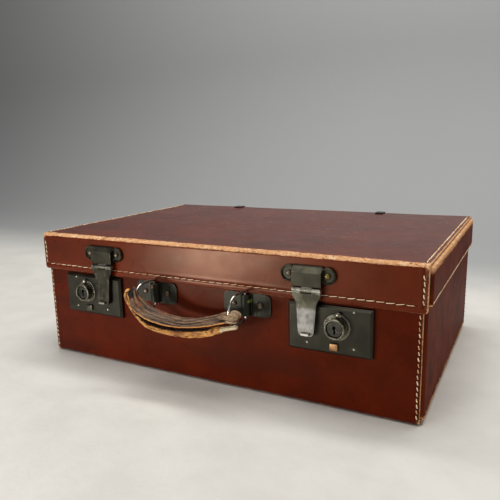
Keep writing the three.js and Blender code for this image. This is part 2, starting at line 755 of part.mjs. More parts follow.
// The lid's strap runs from its knuckle up the lid's back and over the fold onto the top.
function hingeStrap() {
  const inner = FOLD_RADIUS + GAP;
  const outer = inner + BACK_HINGE.sheet;
  const centreY = LID.halfDepth - FOLD_RADIUS;
  const centreZ = LID.topZ - FOLD_RADIUS;
  const bend = (radius) => [0, 1, 2, 3, 4].map((step) => {
    const angle = (Math.PI / 8) * step;
    return [centreY + radius * Math.cos(angle), centreZ + radius * Math.sin(angle)];
  });
  const tipY = LID.halfDepth - BACK_HINGE.strapReach;
  const points = [
    [centreY + outer, BACK_HINGE.axisZ], ...bend(outer),
    [tipY, centreZ + outer], [tipY, centreZ + inner],
    ...bend(inner).reverse(), [centreY + inner, BACK_HINGE.axisZ],
  ];
  const half = BACK_HINGE.strapWidth / 2;
  const strap = barAlongX(outlineOf(points), -half, half);
  const knuckle = rodAlongX(BACK_HINGE.knuckleRadius, -half, half, BACK_HINGE.axisY, BACK_HINGE.axisZ);
  const bore = rodAlongX(BACK_HINGE.boreRadius, -20, 20, BACK_HINGE.axisY, BACK_HINGE.axisZ);
  return strap.add(knuckle).subtract(bore);
}

function hingeLeaf() {
  const half = BACK_HINGE.leafWidth / 2;
  const strapHalf = BACK_HINGE.strapWidth / 2 + GAP;
  const y = BASE.halfDepth + GAP;
  const sheet = barAlongX(outlineOf([
    [y, BACK_HINGE.leafLowZ], [y + BACK_HINGE.sheet, BACK_HINGE.leafLowZ],
    [y + BACK_HINGE.sheet, BACK_HINGE.leafBendZ],
    [BACK_HINGE.axisY + 1.6, 91], [BACK_HINGE.axisY - 0.6, 92], [y, 86],
  ]), -half, half);
  const gap = block(-strapHalf, strapHalf, y - 5, y + 20, 88.6, 100);
  const bore = rodAlongX(BACK_HINGE.boreRadius, -20, 20, BACK_HINGE.axisY, BACK_HINGE.axisZ);
  const knuckles = [-1, 1].map((side) => rodAlongX(
    BACK_HINGE.knuckleRadius, side * strapHalf, side * half, BACK_HINGE.axisY, BACK_HINGE.axisZ,
  ));
  let body = sheet.subtract(gap).add(knuckles[0]).add(knuckles[1]).subtract(bore);
  for (const [x, z] of [[-7, 60], [7, 60], [-7, 76], [7, 76]]) {
    const dome = domeRivet(2, 1.2, x, 0, z, 10).rotate([0, 0, 180]);
    body = body.add(dome.translate(0, y + BACK_HINGE.sheet - 0.2, 0));
  }
  return body;
}

function addBackHinge(base, lid, side, suffix) {
  const x = BACK_HINGE.centreX + (side * BACK_HINGE.spacing) / 2;
  const baseSide = new THREE.Group();
  baseSide.position.x = x;
  base.add(baseSide);
  const lidSide = new THREE.Group();
  lidSide.position.x = x;
  lid.add(lidSide);
  const half = BACK_HINGE.leafWidth / 2 + 0.6;
  const pin = rodAlongX(BACK_HINGE.pinRadius, -half, half, BACK_HINGE.axisY, BACK_HINGE.axisZ);
  place(baseSide, `back_hinge_leaf_${suffix}`, hingeLeaf(), gunmetal());
  place(baseSide, `back_hinge_pin_${suffix}`, pin, steel());
  place(lidSide, `back_hinge_strap_${suffix}`, hingeStrap(), gunmetal());
}

// ---------------------------------------------------------------- the suitcase

const suitcase = new THREE.Group();
const base = new THREE.Group();
const lid = new THREE.Group();
const handle = new THREE.Group();
suitcase.add(base, lid, handle);

addBaseShell(base);
addLidShell(lid);
addHandle(handle);
for (const [side, suffix] of [[-1, 'left'], [1, 'right']]) {
  addLock(base, side, suffix);
  addHasp(lid, side, suffix);
  addHandleMount(base, side, suffix);
  addBackHinge(base, lid, side, suffix);
}

export default suitcase;
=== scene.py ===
"""A small vintage hide suitcase: glazed red-brown leather with worn tan folds, hand stitching,
two sliding-nozzle locks with hinged hasps, and a dry, split leather handle on two wire rings.

Lengths inside the helpers are in millimetres; meshes are made in metres, in the CAD's frame.
"""

import math

import bpy
import numpy as np
from mathutils import Matrix, Vector


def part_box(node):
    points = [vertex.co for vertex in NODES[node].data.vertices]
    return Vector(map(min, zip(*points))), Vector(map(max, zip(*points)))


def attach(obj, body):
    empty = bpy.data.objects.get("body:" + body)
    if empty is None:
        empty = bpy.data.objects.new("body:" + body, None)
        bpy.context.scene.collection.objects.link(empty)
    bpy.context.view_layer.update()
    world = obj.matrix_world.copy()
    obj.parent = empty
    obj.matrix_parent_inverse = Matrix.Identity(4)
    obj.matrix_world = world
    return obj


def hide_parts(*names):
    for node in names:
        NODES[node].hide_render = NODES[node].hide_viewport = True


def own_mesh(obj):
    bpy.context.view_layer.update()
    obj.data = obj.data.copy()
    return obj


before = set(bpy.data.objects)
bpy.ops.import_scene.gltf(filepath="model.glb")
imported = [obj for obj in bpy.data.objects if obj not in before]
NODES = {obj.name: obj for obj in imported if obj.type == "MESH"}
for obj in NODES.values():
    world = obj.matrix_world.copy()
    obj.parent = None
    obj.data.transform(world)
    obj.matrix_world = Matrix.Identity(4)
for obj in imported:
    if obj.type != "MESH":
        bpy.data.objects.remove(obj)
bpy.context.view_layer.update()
SEED = 7
MM = 0.001
FAR = 9.0                    # stands for no seam and no worn edge near


def node_box(name):
    """A CAD node's lowest and highest corners, in millimetres."""
    low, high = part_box(name)
    return np.array(low) / MM, np.array(high) / MM


# ---------------------------------------------------------------- node materials

class Val:
    """A socket in a material's node tree, with arithmetic."""

    def __init__(self, graph, socket):
        self.graph = graph
        self.socket = socket

    def __add__(self, other):
        return self.graph.math("ADD", self, other)

    def __sub__(self, other):
        return self.graph.math("SUBTRACT", self, other)

    def __mul__(self, other):
        return self.graph.math("MULTIPLY", self, other)

    def __rsub__(self, other):
        return self.graph.math("SUBTRACT", other, self)

    __radd__ = __add__
    __rmul__ = __mul__

    def low(self, other):
        return self.graph.math("MINIMUM", self, other)

    def high(self, other):
        return self.graph.math("MAXIMUM", self, other)

    def size(self):
        return self.graph.math("ABSOLUTE", self, 0.0)


class Graph:
    """A Principled material whose patterns are functions of the place on the object, in mm."""

    def __init__(self, name):
        self.material = bpy.data.materials.new(name)
        self.material.use_nodes = True
        self.tree = self.material.node_tree
        self.tree.nodes.clear()
        out = self.add("ShaderNodeOutputMaterial")
        self.shader = self.add("ShaderNodeBsdfPrincipled")
        self.tree.links.new(self.shader.outputs[0], out.inputs[0])
        scaled = self.add("ShaderNodeVectorMath")
        scaled.operation = "SCALE"
        scaled.inputs["Scale"].default_value = 1 / MM
        coord = self.add("ShaderNodeTexCoord")
        self.tree.links.new(coord.outputs["Object"], scaled.inputs[0])
        self.place = scaled.outputs[0]
        split = self.add("ShaderNodeSeparateXYZ")
        self.tree.links.new(self.place, split.inputs[0])
        self.x, self.y, self.z = (Val(self, s) for s in split.outputs)

    def add(self, kind):
        return self.tree.nodes.new(kind)

    def plug(self, socket, value):
        if isinstance(value, Val):
            self.tree.links.new(value.socket, socket)
        elif isinstance(value, (tuple, list)) and len(value) == 3 and socket.type == "RGBA":
            socket.default_value = (*value, 1.0)
        else:
            socket.default_value = value

    def math(self, operation, a, b):
        node = self.add("ShaderNodeMath")
        node.operation = operation
        self.plug(node.inputs[0], a)
        self.plug(node.inputs[1], b)
        return Val(self, node.outputs[0])

    def attribute(self, name):
        node = self.add("ShaderNodeAttribute")
        node.attribute_name = name
        return Val(self, node.outputs["Fac"])

    def island(self):
        node = self.add("ShaderNodeNewGeometry")
        return Val(self, node.outputs["Random Per Island"])

    def stretched(self, stretch, offset):
        node = self.add("ShaderNodeMapping")
        node.inputs["Scale"].default_value = stretch
        node.inputs["Location"].default_value = (offset, offset * 0.7, offset * 1.3)
        self.tree.links.new(self.place, node.inputs["Vector"])
        return node.outputs[0]

    def noise(self, size, detail=3.0, rough=0.55, stretch=(1, 1, 1), offset=0.0, twist=0.0):
        """Smooth noise about 0.5 whose features are about `size` mm across."""
        node = self.add("ShaderNodeTexNoise")
        self.tree.links.new(self.stretched(stretch, offset), node.inputs["Vector"])
        node.inputs["Scale"].default_value = 1 / size
        node.inputs["Detail"].default_value = detail
        node.inputs["Roughness"].default_value = rough
        node.inputs["Distortion"].default_value = twist
        return Val(self, node.outputs["Fac"])

    def cells(self, size, feature="F1", stretch=(1, 1, 1), offset=0.0):
        """Distance to the nearest of scattered points, about `size` mm apart."""
        node = self.add("ShaderNodeTexVoronoi")
        node.feature = feature
        self.tree.links.new(self.stretched(stretch, offset), node.inputs["Vector"])
        node.inputs["Scale"].default_value = 1 / size
        return Val(self, node.outputs["Distance"])

    def step(self, value, start, end):
        """0 before start, 1 after end, smooth between; start may be above end."""
        node = self.add("ShaderNodeMapRange")
        node.interpolation_type = "SMOOTHSTEP"
        self.plug(node.inputs["Value"], value)
        if start > end:
            start, end = end, start
            node.inputs["To Min"].default_value = 1.0
            node.inputs["To Max"].default_value = 0.0
        node.inputs["From Min"].default_value = start
        node.inputs["From Max"].default_value = end
        return Val(self, node.outputs[0])

    def mix(self, share, a, b, blend="MIX"):
        node = self.add("ShaderNodeMix")
        node.data_type = "RGBA"
        node.blend_type = blend
        self.plug(node.inputs[0], share)
        self.plug(node.inputs[6], a)
        self.plug(node.inputs[7], b)
        return Val(self, node.outputs[2])

    def bump(self, height, depth, strength=1.0):
        """Relief of `depth` mm for a height that goes from 0 to 1."""
        node = self.add("ShaderNodeBump")
        node.inputs["Strength"].default_value = strength
        node.inputs["Distance"].default_value = depth * MM
        self.plug(node.inputs["Height"], height)
        return Val(self, node.outputs[0])

    def set(self, **values):
        for key, value in values.items():
            self.plug(self.shader.inputs[key.replace("_", " ")], value)
        return self


def srgb(r, g, b):
    """Linear colour from 0-255 display values."""
    return tuple(((c / 255 + 0.055) / 1.055) ** 2.4 if c > 10 else c / 255 / 12.92 for c in (r, g, b))


# ---------------------------------------------------------------- leather materials

def hide_material(name, dark, light, gloss, seed, dull=0.0):
    """Glazed hide. The mesh says how near a worn edge (wear, under 1 is rubbed through) and a
    seam (seam, mm) each point is, and where the raw flesh side shows (flesh)."""
    g = Graph(name)
    wear = g.attribute("wear")
    seam = g.attribute("seam")
    flesh = g.attribute("flesh")
    broad = g.noise(70, 2, offset=seed)
    cloud = g.noise(16, 4, 0.6, offset=seed + 9)
    fine = g.noise(1.6, 3, 0.6, offset=seed + 4)
    base = g.mix(g.step(broad * 0.6 + cloud * 0.4, 0.3, 0.7), dark, light)
    base = g.mix(g.step(fine, 0.35, 0.75) * 0.07, base, tuple(c * 0.55 for c in dark))
    scuffs = g.step(g.noise(9, 5, 0.7, stretch=(0.25, 1, 1), offset=seed + 2), 0.68, 0.78)
    streaks = g.step(g.noise(3.2, 4, 0.7, stretch=(1, 0.12, 0.5), offset=seed + 31), 0.67, 0.73)
    base = g.mix((scuffs * 0.16).high(streaks * 0.1), base, srgb(112, 52, 34))
    smoke = g.step(g.noise(26, 3, 0.55, stretch=(0.22, 1, 1), offset=seed + 51), 0.5, 0.72)
    base = g.mix(smoke * 0.5, base, srgb(52, 18, 9))
    # Light nicks in the glaze, and a few dark spots.
    nicked = g.step(g.noise(30, 1, offset=seed + 3), 0.45, 0.55)
    nick = g.step(g.cells(23, offset=seed + 5), 0.045, 0.02) * nicked
    base = g.mix(nick, base, srgb(214, 158, 120))
    spot = g.step(g.cells(31, offset=seed + 12), 0.07, 0.03)
    base = g.mix(spot * 0.6, base, srgb(38, 14, 8))
    # Rubbed edges: the glaze goes, through orange-brown to bare tan.
    ragged = g.noise(16, 3, 0.6, offset=seed + 1) * 1.3 + g.noise(2.4, 4, 0.75, offset=seed + 6) * 1.2
    level = wear + (ragged - 1.25) * 1.0
    fibre = g.noise(0.9, 4, 0.7, offset=seed + 8)
    tan = g.mix(g.step(fibre, 0.3, 0.7), srgb(184, 118, 70), srgb(238, 190, 142))
    pale = g.step(g.noise(7, 3, 0.6, offset=seed + 27), 0.5, 0.68)
    tan = g.mix(pale * 0.5, tan, srgb(246, 216, 176))
    rubbed = g.step(level, 1.3, 0.95)
    bare = g.step(level, 1.06, 0.8)
    coloured = g.mix(rubbed * 0.8, base, srgb(128, 62, 30))
    coloured = g.mix(bare, coloured, tan)
    cracks = g.step(g.cells(2.6, "DISTANCE_TO_EDGE", offset=seed + 17), 0.0, 0.09)
    torn = g.step(g.noise(1.7, 3, 0.6, (0.55, 1, 1), seed + 15), 0.53, 0.61) * bare * g.step(level, 0.3, 0.7)
    coloured = g.mix(torn * 0.85, coloured, srgb(78, 34, 18))
    # The leather is darker along the thread rows, which are pressed in.
    row_darkening = g.step(seam, 1.3, 0.2)
    coloured = g.mix(row_darkening * 0.3, coloured, srgb(44, 16, 8))
    suede = g.mix(g.step(g.noise(0.7, 3, 0.7), 0.3, 0.7), srgb(96, 62, 40), srgb(140, 98, 66))
    coloured = g.mix(flesh, coloured, suede)
    polish = g.noise(12, 2, 0.5, offset=seed + 21)
    rough = g.step(polish, 0.25, 0.8) * 0.05 + 0.27
    rough = rough + rubbed * 0.12 + bare * 0.3 + flesh * 0.5 + scuffs * 0.05 + dull
    grain = g.cells(0.9, offset=seed) * 0.3 + g.noise(0.35, 2, 0.6) * 0.15
    height = grain * 0.02 + g.noise(14.0, 0, 0.5, offset=seed + 7) * 0.12
    height = height - bare * (0.9 - fibre * 0.9) - nick * 1.5 - (1 - cracks) * bare * 0.7
    g.set(Base_Color=coloured, Roughness=rough.low(0.95), Normal=g.bump(height, 0.2))
    g.set(Specular_IOR_Level=gloss, Specular_Tint=(1.0, 0.62, 0.4))
    return g.material


def thread_material():
    """Waxed linen thread, with its twist, soiled by different amounts from stitch to stitch."""
    g = Graph("waxed_thread")
    soil = g.island() * 0.6 + g.noise(2.0, 2) * 0.5
    colour = g.mix(g.step(soil, 0.35, 0.85), srgb(246, 222, 184), srgb(206, 150, 100))
    twist = g.noise(0.35, 1, stretch=(1, 1, 2.5))
    g.set(Base_Color=g.mix(g.step(twist, 0.55, 0.75) * 0.3, colour, srgb(150, 100, 62)))
    g.set(Roughness=0.7, Normal=g.bump(twist, 0.12))
    return g.material


def dull_thread_material():
    g = Graph("soiled_thread")
    soil = g.island() * 0.7 + g.noise(2.0, 2) * 0.4
    colour = g.mix(g.step(soil, 0.3, 0.8), srgb(186, 136, 84), srgb(108, 64, 38))
    twist = g.noise(0.35, 1, stretch=(1, 1, 2.5))
    g.set(Base_Color=colour, Roughness=0.75, Normal=g.bump(twist, 0.12))
    return g.material


def hole_shade_material():
    # Painted shade: a dark plug stands in for the shadow down each needle hole.
    g = Graph("needle_hole_shade")
    colour = g.mix(g.noise(0.6, 2), srgb(26, 10, 6), srgb(58, 24, 14))
    g.set(Base_Color=colour, Roughness=0.9)
    return g.material


def cover_material():
    """The handle's cover: dry grey-brown hide with long flowing wrinkles (ridge), a golden welt
    (welt), a frayed end (fray) and painted shade under it, in its hollow and at its left end (under)."""
    g = Graph("handle_cover_hide")
    ridge = g.attribute("ridge")
    flow = g.noise(6.0, 4, 0.65, stretch=(0.25, 1, 1), offset=3, twist=0.8)
    fine = g.noise(0.8, 3, 0.7, stretch=(0.5, 1, 1), offset=5)
    tone = ridge * 0.16 + flow * 0.62 + fine * 0.34
    base = g.mix(g.step(tone, 0.34, 0.72), srgb(44, 26, 17), srgb(150, 118, 90))
    amber = g.step(g.noise(10, 3, 0.6, stretch=(0.6, 1, 1), offset=21), 0.52, 0.7)
    base = g.mix(amber * 0.45, base, srgb(150, 88, 44))
    crease = g.step(ridge + (flow - 0.5) * 0.8, -0.2, -0.5)
    base = g.mix(crease * 0.8, base, srgb(34, 18, 11))
    gold = g.mix(g.step(fine, 0.3, 0.7), srgb(176, 106, 42), srgb(236, 172, 92))
    base = g.mix(g.step(g.attribute("welt") + (g.noise(1.6, 3) - 0.5) * 0.5, 0.4, 0.65), base, gold)
    bare = g.mix(g.step(fine * 0.6 + ridge * 0.2, 0.15, 0.55), srgb(104, 78, 54), srgb(196, 168, 132))
    ragged = (g.noise(2.6, 4, 0.7, offset=8) - 0.5) * 0.8
    base = g.mix(g.step(g.attribute("fray") + ragged, 0.45, 0.8), base, bare)
    # Painted shade: dark under the cover, in its torn hollow and at its left end, where shade falls.
    base = g.mix(g.step(g.attribute("under"), 0.35, 0.8), base, srgb(22, 11, 7))
    height = ridge * 0.35 + flow * 0.9 + fine * 0.35 - crease * 0.4
    g.set(Base_Color=base, Roughness=g.step(tone, 0.3, 0.7) * 0.2 + 0.5)
    g.set(Normal=g.bump(height, 0.6), Specular_IOR_Level=0.3)
    return g.material


def roll_material():
    """The handle's lower roll: rubbed to fuzzy golden tan, with dark pits and painted shade along its top
    under the cover.
    """
    g = Graph("handle_roll_hide")
    fray = g.attribute("fray")
    shade = g.attribute("shade")
    flow = g.noise(6.0, 4, 0.65, stretch=(0.4, 1, 1), offset=13, twist=0.6)
    fine = g.noise(0.7, 4, 0.75, offset=2)
    base = g.mix(g.step(flow, 0.35, 0.65), srgb(140, 76, 24), srgb(230, 164, 84))
    base = g.mix(g.step(fine, 0.48, 0.7) * 0.55, base, srgb(246, 208, 146))
    pits = g.step(g.noise(2.4, 3, 0.6, stretch=(0.5, 1, 1), offset=27), 0.56, 0.63)
    base = g.mix(pits * 0.85, base, srgb(60, 32, 18))
    ragged = (g.noise(2.0, 4, 0.7, offset=3) - 0.5) * 0.8
    # Painted shade: the roll's top darkens where the cover hangs over it.
    base = g.mix(g.step(shade + ragged, 0.4, 0.8), base, srgb(30, 15, 9))
    cream = g.mix(g.step(fine, 0.3, 0.7), srgb(196, 168, 124), srgb(238, 222, 186))
    base = g.mix(g.step(fray + (fine - 0.5) * 0.4, 0.4, 0.6), base, cream)
    height = flow * 0.8 + fine * 0.6 - pits * 0.6
    g.set(Base_Color=base, Roughness=0.72, Normal=g.bump(height, 0.6), Specular_IOR_Level=0.35)
    return g.material


# ---------------------------------------------------------------- metal materials

def metal_material(name, dark, light, rough, metallic, worn=None, wear_amount=0.0, rust=0.0, seed=0.0,
                   scratched=0.3):
    """Old plated or bronzed steel: cloudy tone, fine scratches, rubs, and specks of rust."""
    g = Graph(name)
    cloud = g.noise(7, 4, 0.6, offset=seed)
    fine = g.noise(0.8, 3, 0.65, offset=seed + 3)
    base = g.mix(g.step(cloud * 0.7 + fine * 0.3, 0.35, 0.66), dark, light)
    scratch = g.step(g.noise(1.4, 3, 0.6, stretch=(0.08, 1, 1.2), offset=seed + 7), 0.62, 0.7)
    scratch = scratch.high(g.step(g.noise(1.2, 3, 0.6, stretch=(1, 1, 0.1), offset=seed + 19), 0.66, 0.72))
    base = g.mix(scratch * scratched, base, tuple(min(1.0, c * 2.2 + 0.05) for c in light))
    if worn:
        rubbed = g.step(g.noise(5, 4, 0.65, offset=seed + 23), 0.62 - wear_amount, 0.8 - wear_amount)
        base = g.mix(rubbed * 0.8, base, worn)
    blotch = g.noise(3.0, 4, 0.7, offset=seed + 41)
    stain = g.step(blotch, 0.7 - rust * 0.1, 0.78 - rust * 0.1) * min(1.0, rust)
    base = g.mix(stain, base, srgb(112, 60, 30))
    g.set(Base_Color=base, Metallic=metallic)
    g.set(Roughness=(cloud * 0.22 + fine * 0.1 + (rough - 0.16) + stain * 0.3).low(0.9))
    height = fine * 0.5 - scratch * 0.5 + cloud * 0.8
    g.set(Normal=g.bump(height, 0.06))
    return g.material


def lever_material(name, upper_tones, lower_tones, bend_z, roll_highlight, seed):
    """A hasp lever: bronzed above its bend, paler below it, partly rubbed and partly painted as lit, with
    painted highlights on its hinge roll and lip.
    """
    g = Graph(name)
    cloud = g.noise(9, 3, 0.5, offset=seed + 2)
    fine = g.noise(0.9, 3, 0.65, offset=seed + 9)
    upper = g.mix(g.step(cloud, 0.35, 0.65), *upper_tones)
    lower = g.mix(g.step(cloud, 0.35, 0.65), *lower_tones)
    # Below the bend the lever is painted paler: partly rub, partly painted light where it faces the light.
    below = g.step(g.z + (g.noise(4, 3, offset=seed + 4) - 0.5) * 4.0, bend_z + 1.5, bend_z - 1.5)
    base = g.mix(below, upper, lower)
    pits = g.step(g.noise(1.6, 3, 0.7, offset=seed + 31), 0.65, 0.72)
    base = g.mix(pits * 0.7, base, srgb(48, 44, 34))
    scratch = g.step(g.noise(1.3, 3, 0.6, stretch=(1, 1, 0.12), offset=seed + 7), 0.62, 0.7)
    base = g.mix(scratch * 0.2, base, srgb(200, 198, 188))
    # Painted highlights: a patchy bright band on the hinge roll and a bright lip at the bottom.
    roll = g.step(g.z, 101.5, 102.2) * g.step(cloud * 0.5 + fine * 0.5, 0.36, 0.52)
    lip = g.step(g.y, -143.6, -144.4) * g.step(g.z, 69, 68)
    base = g.mix((roll * roll_highlight).high(lip * 0.85), base, srgb(196, 192, 178))
    g.set(Base_Color=base, Metallic=0.9, Roughness=cloud * 0.2 + fine * 0.08 + 0.24)
    g.set(Normal=g.bump(fine * 0.5 + cloud * 0.7 - scratch * 0.3 - pits * 0.5, 0.07))
    return g.material


# Stains on the handle's plates: X, Z and reach in mm, and colour.
PLATE_STAINS = (
    (-54.4, 89.5, 2.8, srgb(142, 92, 68)),
    (50.6, 87.0, 2.2, srgb(156, 164, 66)),
)


def bronze(name, size, rough, seed, dark, light):
    """A material's graph with its cloudy tone, its fine grain and the colour mixed from both."""
    g = Graph(name)
    cloud = g.noise(size, 3, rough, offset=seed)
    fine = g.noise(0.9, 3, 0.65, offset=seed + 5)
    return g, cloud, fine, g.mix(g.step(cloud * 0.7 + fine * 0.3, 0.35, 0.66), dark, light)


def handle_plate_material():
    """The handle's plates: dark bronze with rust by one saddle and verdigris by the other."""
    g, cloud, fine, base = bronze("handle_plate_steel", 10, 0.55, 101, srgb(30, 29, 21), srgb(44, 42, 32))
    scratch = g.step(g.noise(1.6, 3, 0.6, stretch=(1, 1, 0.12), offset=111), 0.64, 0.71)
    base = g.mix(scratch * 0.2, base, srgb(150, 146, 130))
    ragged = (g.noise(1.6, 3, 0.7, offset=116) - 0.5) * 3.0
    for x, z, radius, colour in PLATE_STAINS:
        away = (g.x - x).size() + (g.z - z).size() + ragged
        base = g.mix(g.step(away, radius, radius * 0.5) * 0.75, base, colour)
    g.set(Base_Color=base, Metallic=0.75, Roughness=cloud * 0.2 + fine * 0.08 + 0.28)
    g.set(Normal=g.bump(fine * 0.5 + cloud * 0.7 - scratch * 0.3, 0.06))
    return g.material


def lock_plate_material():
    """The pressed lock plate: smooth dark bronze, its three pin heads painted bright as highlights."""
    g, cloud, fine, base = bronze("lock_plate_steel", 16, 0.5, 81, srgb(42, 40, 32), srgb(54, 51, 41))
    scratch = g.step(g.noise(1.6, 3, 0.6, stretch=(0.1, 1, 1.2), offset=91), 0.66, 0.73)
    base = g.mix(scratch * 0.15, base, srgb(150, 146, 130))
    # Painted highlight: all that stands out past the plate's face, the three pin heads, is painted pale.
    base = g.mix(g.step(g.y, -137.95, -138.1), base, srgb(186, 182, 166))
    g.set(Base_Color=base, Metallic=0.8, Roughness=cloud * 0.16 + fine * 0.08 + 0.26)
    g.set(Normal=g.bump(fine * 0.4 + cloud * 0.9 - scratch * 0.3, 0.05))
    return g.material


def bracket_material():
    """The hasp bracket: bronzed, with painted highlights on its sloping shoulder and its hinge roll."""
    g, cloud, fine, base = bronze("bracket_steel", 8, 0.5, 61, srgb(40, 38, 29), srgb(54, 50, 39))
    # Painted highlights: patchy bright bands on the sloping shoulder, which faces the light, and along the
    # hinge roll.
    shoulder_highlight = g.step(g.y, -138.2, -139.0) * g.step(g.z, 118.6, 119.4)
    shoulder_highlight = shoulder_highlight * g.step(cloud * 0.6 + fine * 0.4, 0.3, 0.55)
    roll = g.step(g.z, 106.5, 106.1) * g.step(fine, 0.3, 0.5)
    base = g.mix(shoulder_highlight * 0.35, base, srgb(132, 128, 108))
    base = g.mix(roll * 0.55, base, srgb(170, 165, 146))
    pits = g.step(g.noise(1.4, 3, 0.7, offset=71), 0.66, 0.73)
    base = g.mix(pits * 0.6, base, srgb(36, 33, 26))
    g.set(Base_Color=base, Metallic=0.85, Roughness=cloud * 0.2 + fine * 0.08 + 0.24)
    g.set(Normal=g.bump(fine * 0.4 + cloud * 0.8 - pits * 0.5, 0.06))
    return g.material


# ---------------------------------------------------------------- lining, board, floor

def lining_material():
    g = Graph("lining_cloth")
    tone = g.noise(45, 3, 0.6)
    base = g.mix(g.step(tone, 0.25, 0.75), srgb(160, 133, 95), srgb(182, 156, 115))
    threads = []
    for direction in ("X", "Y"):
        wave = g.add("ShaderNodeTexWave")
        wave.bands_direction = direction
        wave.inputs["Scale"].default_value = 0.55
        wave.inputs["Distortion"].default_value = 0.4
        g.tree.links.new(g.place, wave.inputs["Vector"])
        threads.append(Val(g, wave.outputs["Fac"]) * 0.5)
    weave = threads[0] + threads[1]
    stain = g.step(g.noise(28, 4, 0.6, offset=17), 0.6, 0.75)
    base = g.mix(stain * 0.16, base, srgb(112, 80, 50))
    base = g.mix(g.step(weave, 0.4, 0.9) * 0.2, base, srgb(214, 190, 150))
    g.set(Base_Color=base, Roughness=0.9, Normal=g.bump(weave + g.noise(0.7, 2) * 0.5, 0.15))
    g.set(Specular_IOR_Level=0.2)
    return g.material


def board_material():
    g = Graph("pulp_board")
    fibre = g.noise(1.2, 4, 0.7, stretch=(0.3, 1, 1))
    base = g.mix(g.step(fibre, 0.3, 0.7), srgb(104, 86, 62), srgb(156, 134, 102))
    g.set(Base_Color=base, Roughness=0.95, Normal=g.bump(fibre, 0.2))
    return g.material


def floor_material():
    g = Graph("painted_floor")
    plaster = g.noise(60, 5, 0.6)
    pale = g.mix(g.step(plaster, 0.3, 0.7), srgb(208, 205, 198), srgb(217, 214, 207))
    wall = srgb(158, 159, 158)
    far = g.step(g.y + g.z * 1.2, 180, 520)
    g.set(Base_Color=g.mix(far, pale, wall), Roughness=0.75)
    g.set(Normal=g.bump(g.noise(8, 4, 0.6), 0.3), Specular_IOR_Level=0.3)
    return g.material


# ---------------------------------------------------------------- mesh helpers

def new_object(name, points, faces, materials, face_materials=None, smooth=True):
    """A mesh object from points in millimetres."""
    mesh = bpy.data.meshes.new(name)
    mesh.from_pydata([tuple(p) for p in np.asarray(points) * MM], [], [tuple(f) for f in faces])
    for m in materials:
        mesh.materials.append(m)
    if face_materials is not None:
        mesh.polygons.foreach_set("material_index", np.asarray(face_materials, np.int32))
    mesh.polygons.foreach_set("use_smooth", np.full(len(mesh.polygons), smooth))
    mesh.update()
    thing = bpy.data.objects.new(name, mesh)
    bpy.context.scene.collection.objects.link(thing)
    return thing


def set_attribute(thing, name, values):
    attribute = thing.data.attributes.new(name, "FLOAT", "POINT")
    attribute.data.foreach_set("value", np.asarray(values, np.float32))


def ripple(a, b, seed, wavelength, amount):
    """Gentle unevenness: a few crossed sine waves, seeded."""
    rng = np.random.default_rng(seed)
    total = 0.0
    for _ in range(7):
        angle = rng.uniform(0, 2 * math.pi)
        length = wavelength * rng.uniform(0.6, 1.8)
        phase = rng.uniform(0, 2 * math.pi)
        wave = (a * math.cos(angle) + b * math.sin(angle)) * 2 * math.pi / length
        total = total + np.sin(wave + phase)
    return amount * total / 3.0


def steps(stops):
    """Grid lines from [(position, spacing up to the next position), ...]."""
    out = []
    for (start, spacing), (end, _) in zip(stops[:-1], stops[1:]):
        count = max(1, round((end - start) / spacing))
        out += list(np.linspace(start, end, count, endpoint=False))
    return np.array(out + [stops[-1][0]])


def graded(start, end, fine, coarse, growth=0.3, focus=()):
    """Grid lines from start to end, fine at both ends and near each focus, coarse between."""
    marks = [start, end, *focus]
    out = [start]
    while out[-1] < end - fine:
        near = min(abs(out[-1] - m) for m in marks)
        out.append(out[-1] + min(coarse, max(fine, near * growth)))
    if end - out[-1] < fine * 0.5:
        out.pop()
    return np.array(out + [end])


EDGE_STEPS = [0.0, 0.06, 0.2, 0.42, 0.75, 1.15]


def with_edges(inner, low, high):
    """Close grid lines at both ends, where a sheet's cut edge is rounded."""
    first = [low + e for e in EDGE_STEPS]
    last = [high - e for e in reversed(EDGE_STEPS)]
    middle = [v for v in inner if first[-1] + 0.25 < v < last[0] - 0.25]
    return np.array(first + middle + last)


def round_corner(du, dv, radius):
    """Moves a square corner of the grid onto a round one."""
    a = np.clip(1 - du / radius, 0, 1)
    b = np.clip(1 - dv / radius, 0, 1)
    longest = np.maximum(a, b)
    scale = np.where(longest > 0, longest / np.maximum(np.hypot(a, b), 1e-9), 1.0)
    corner = (a > 0) & (b > 0)
    return (
        np.where(corner, radius * (1 - a * scale), du),
        np.where(corner, radius * (1 - b * scale), dv),
    )


def grid_normals(points):
    across = np.gradient(points, axis=0)
    along = np.gradient(points, axis=1)
    normal = np.cross(across, along)
    return normal / np.maximum(np.linalg.norm(normal, axis=2, keepdims=True), 1e-12)


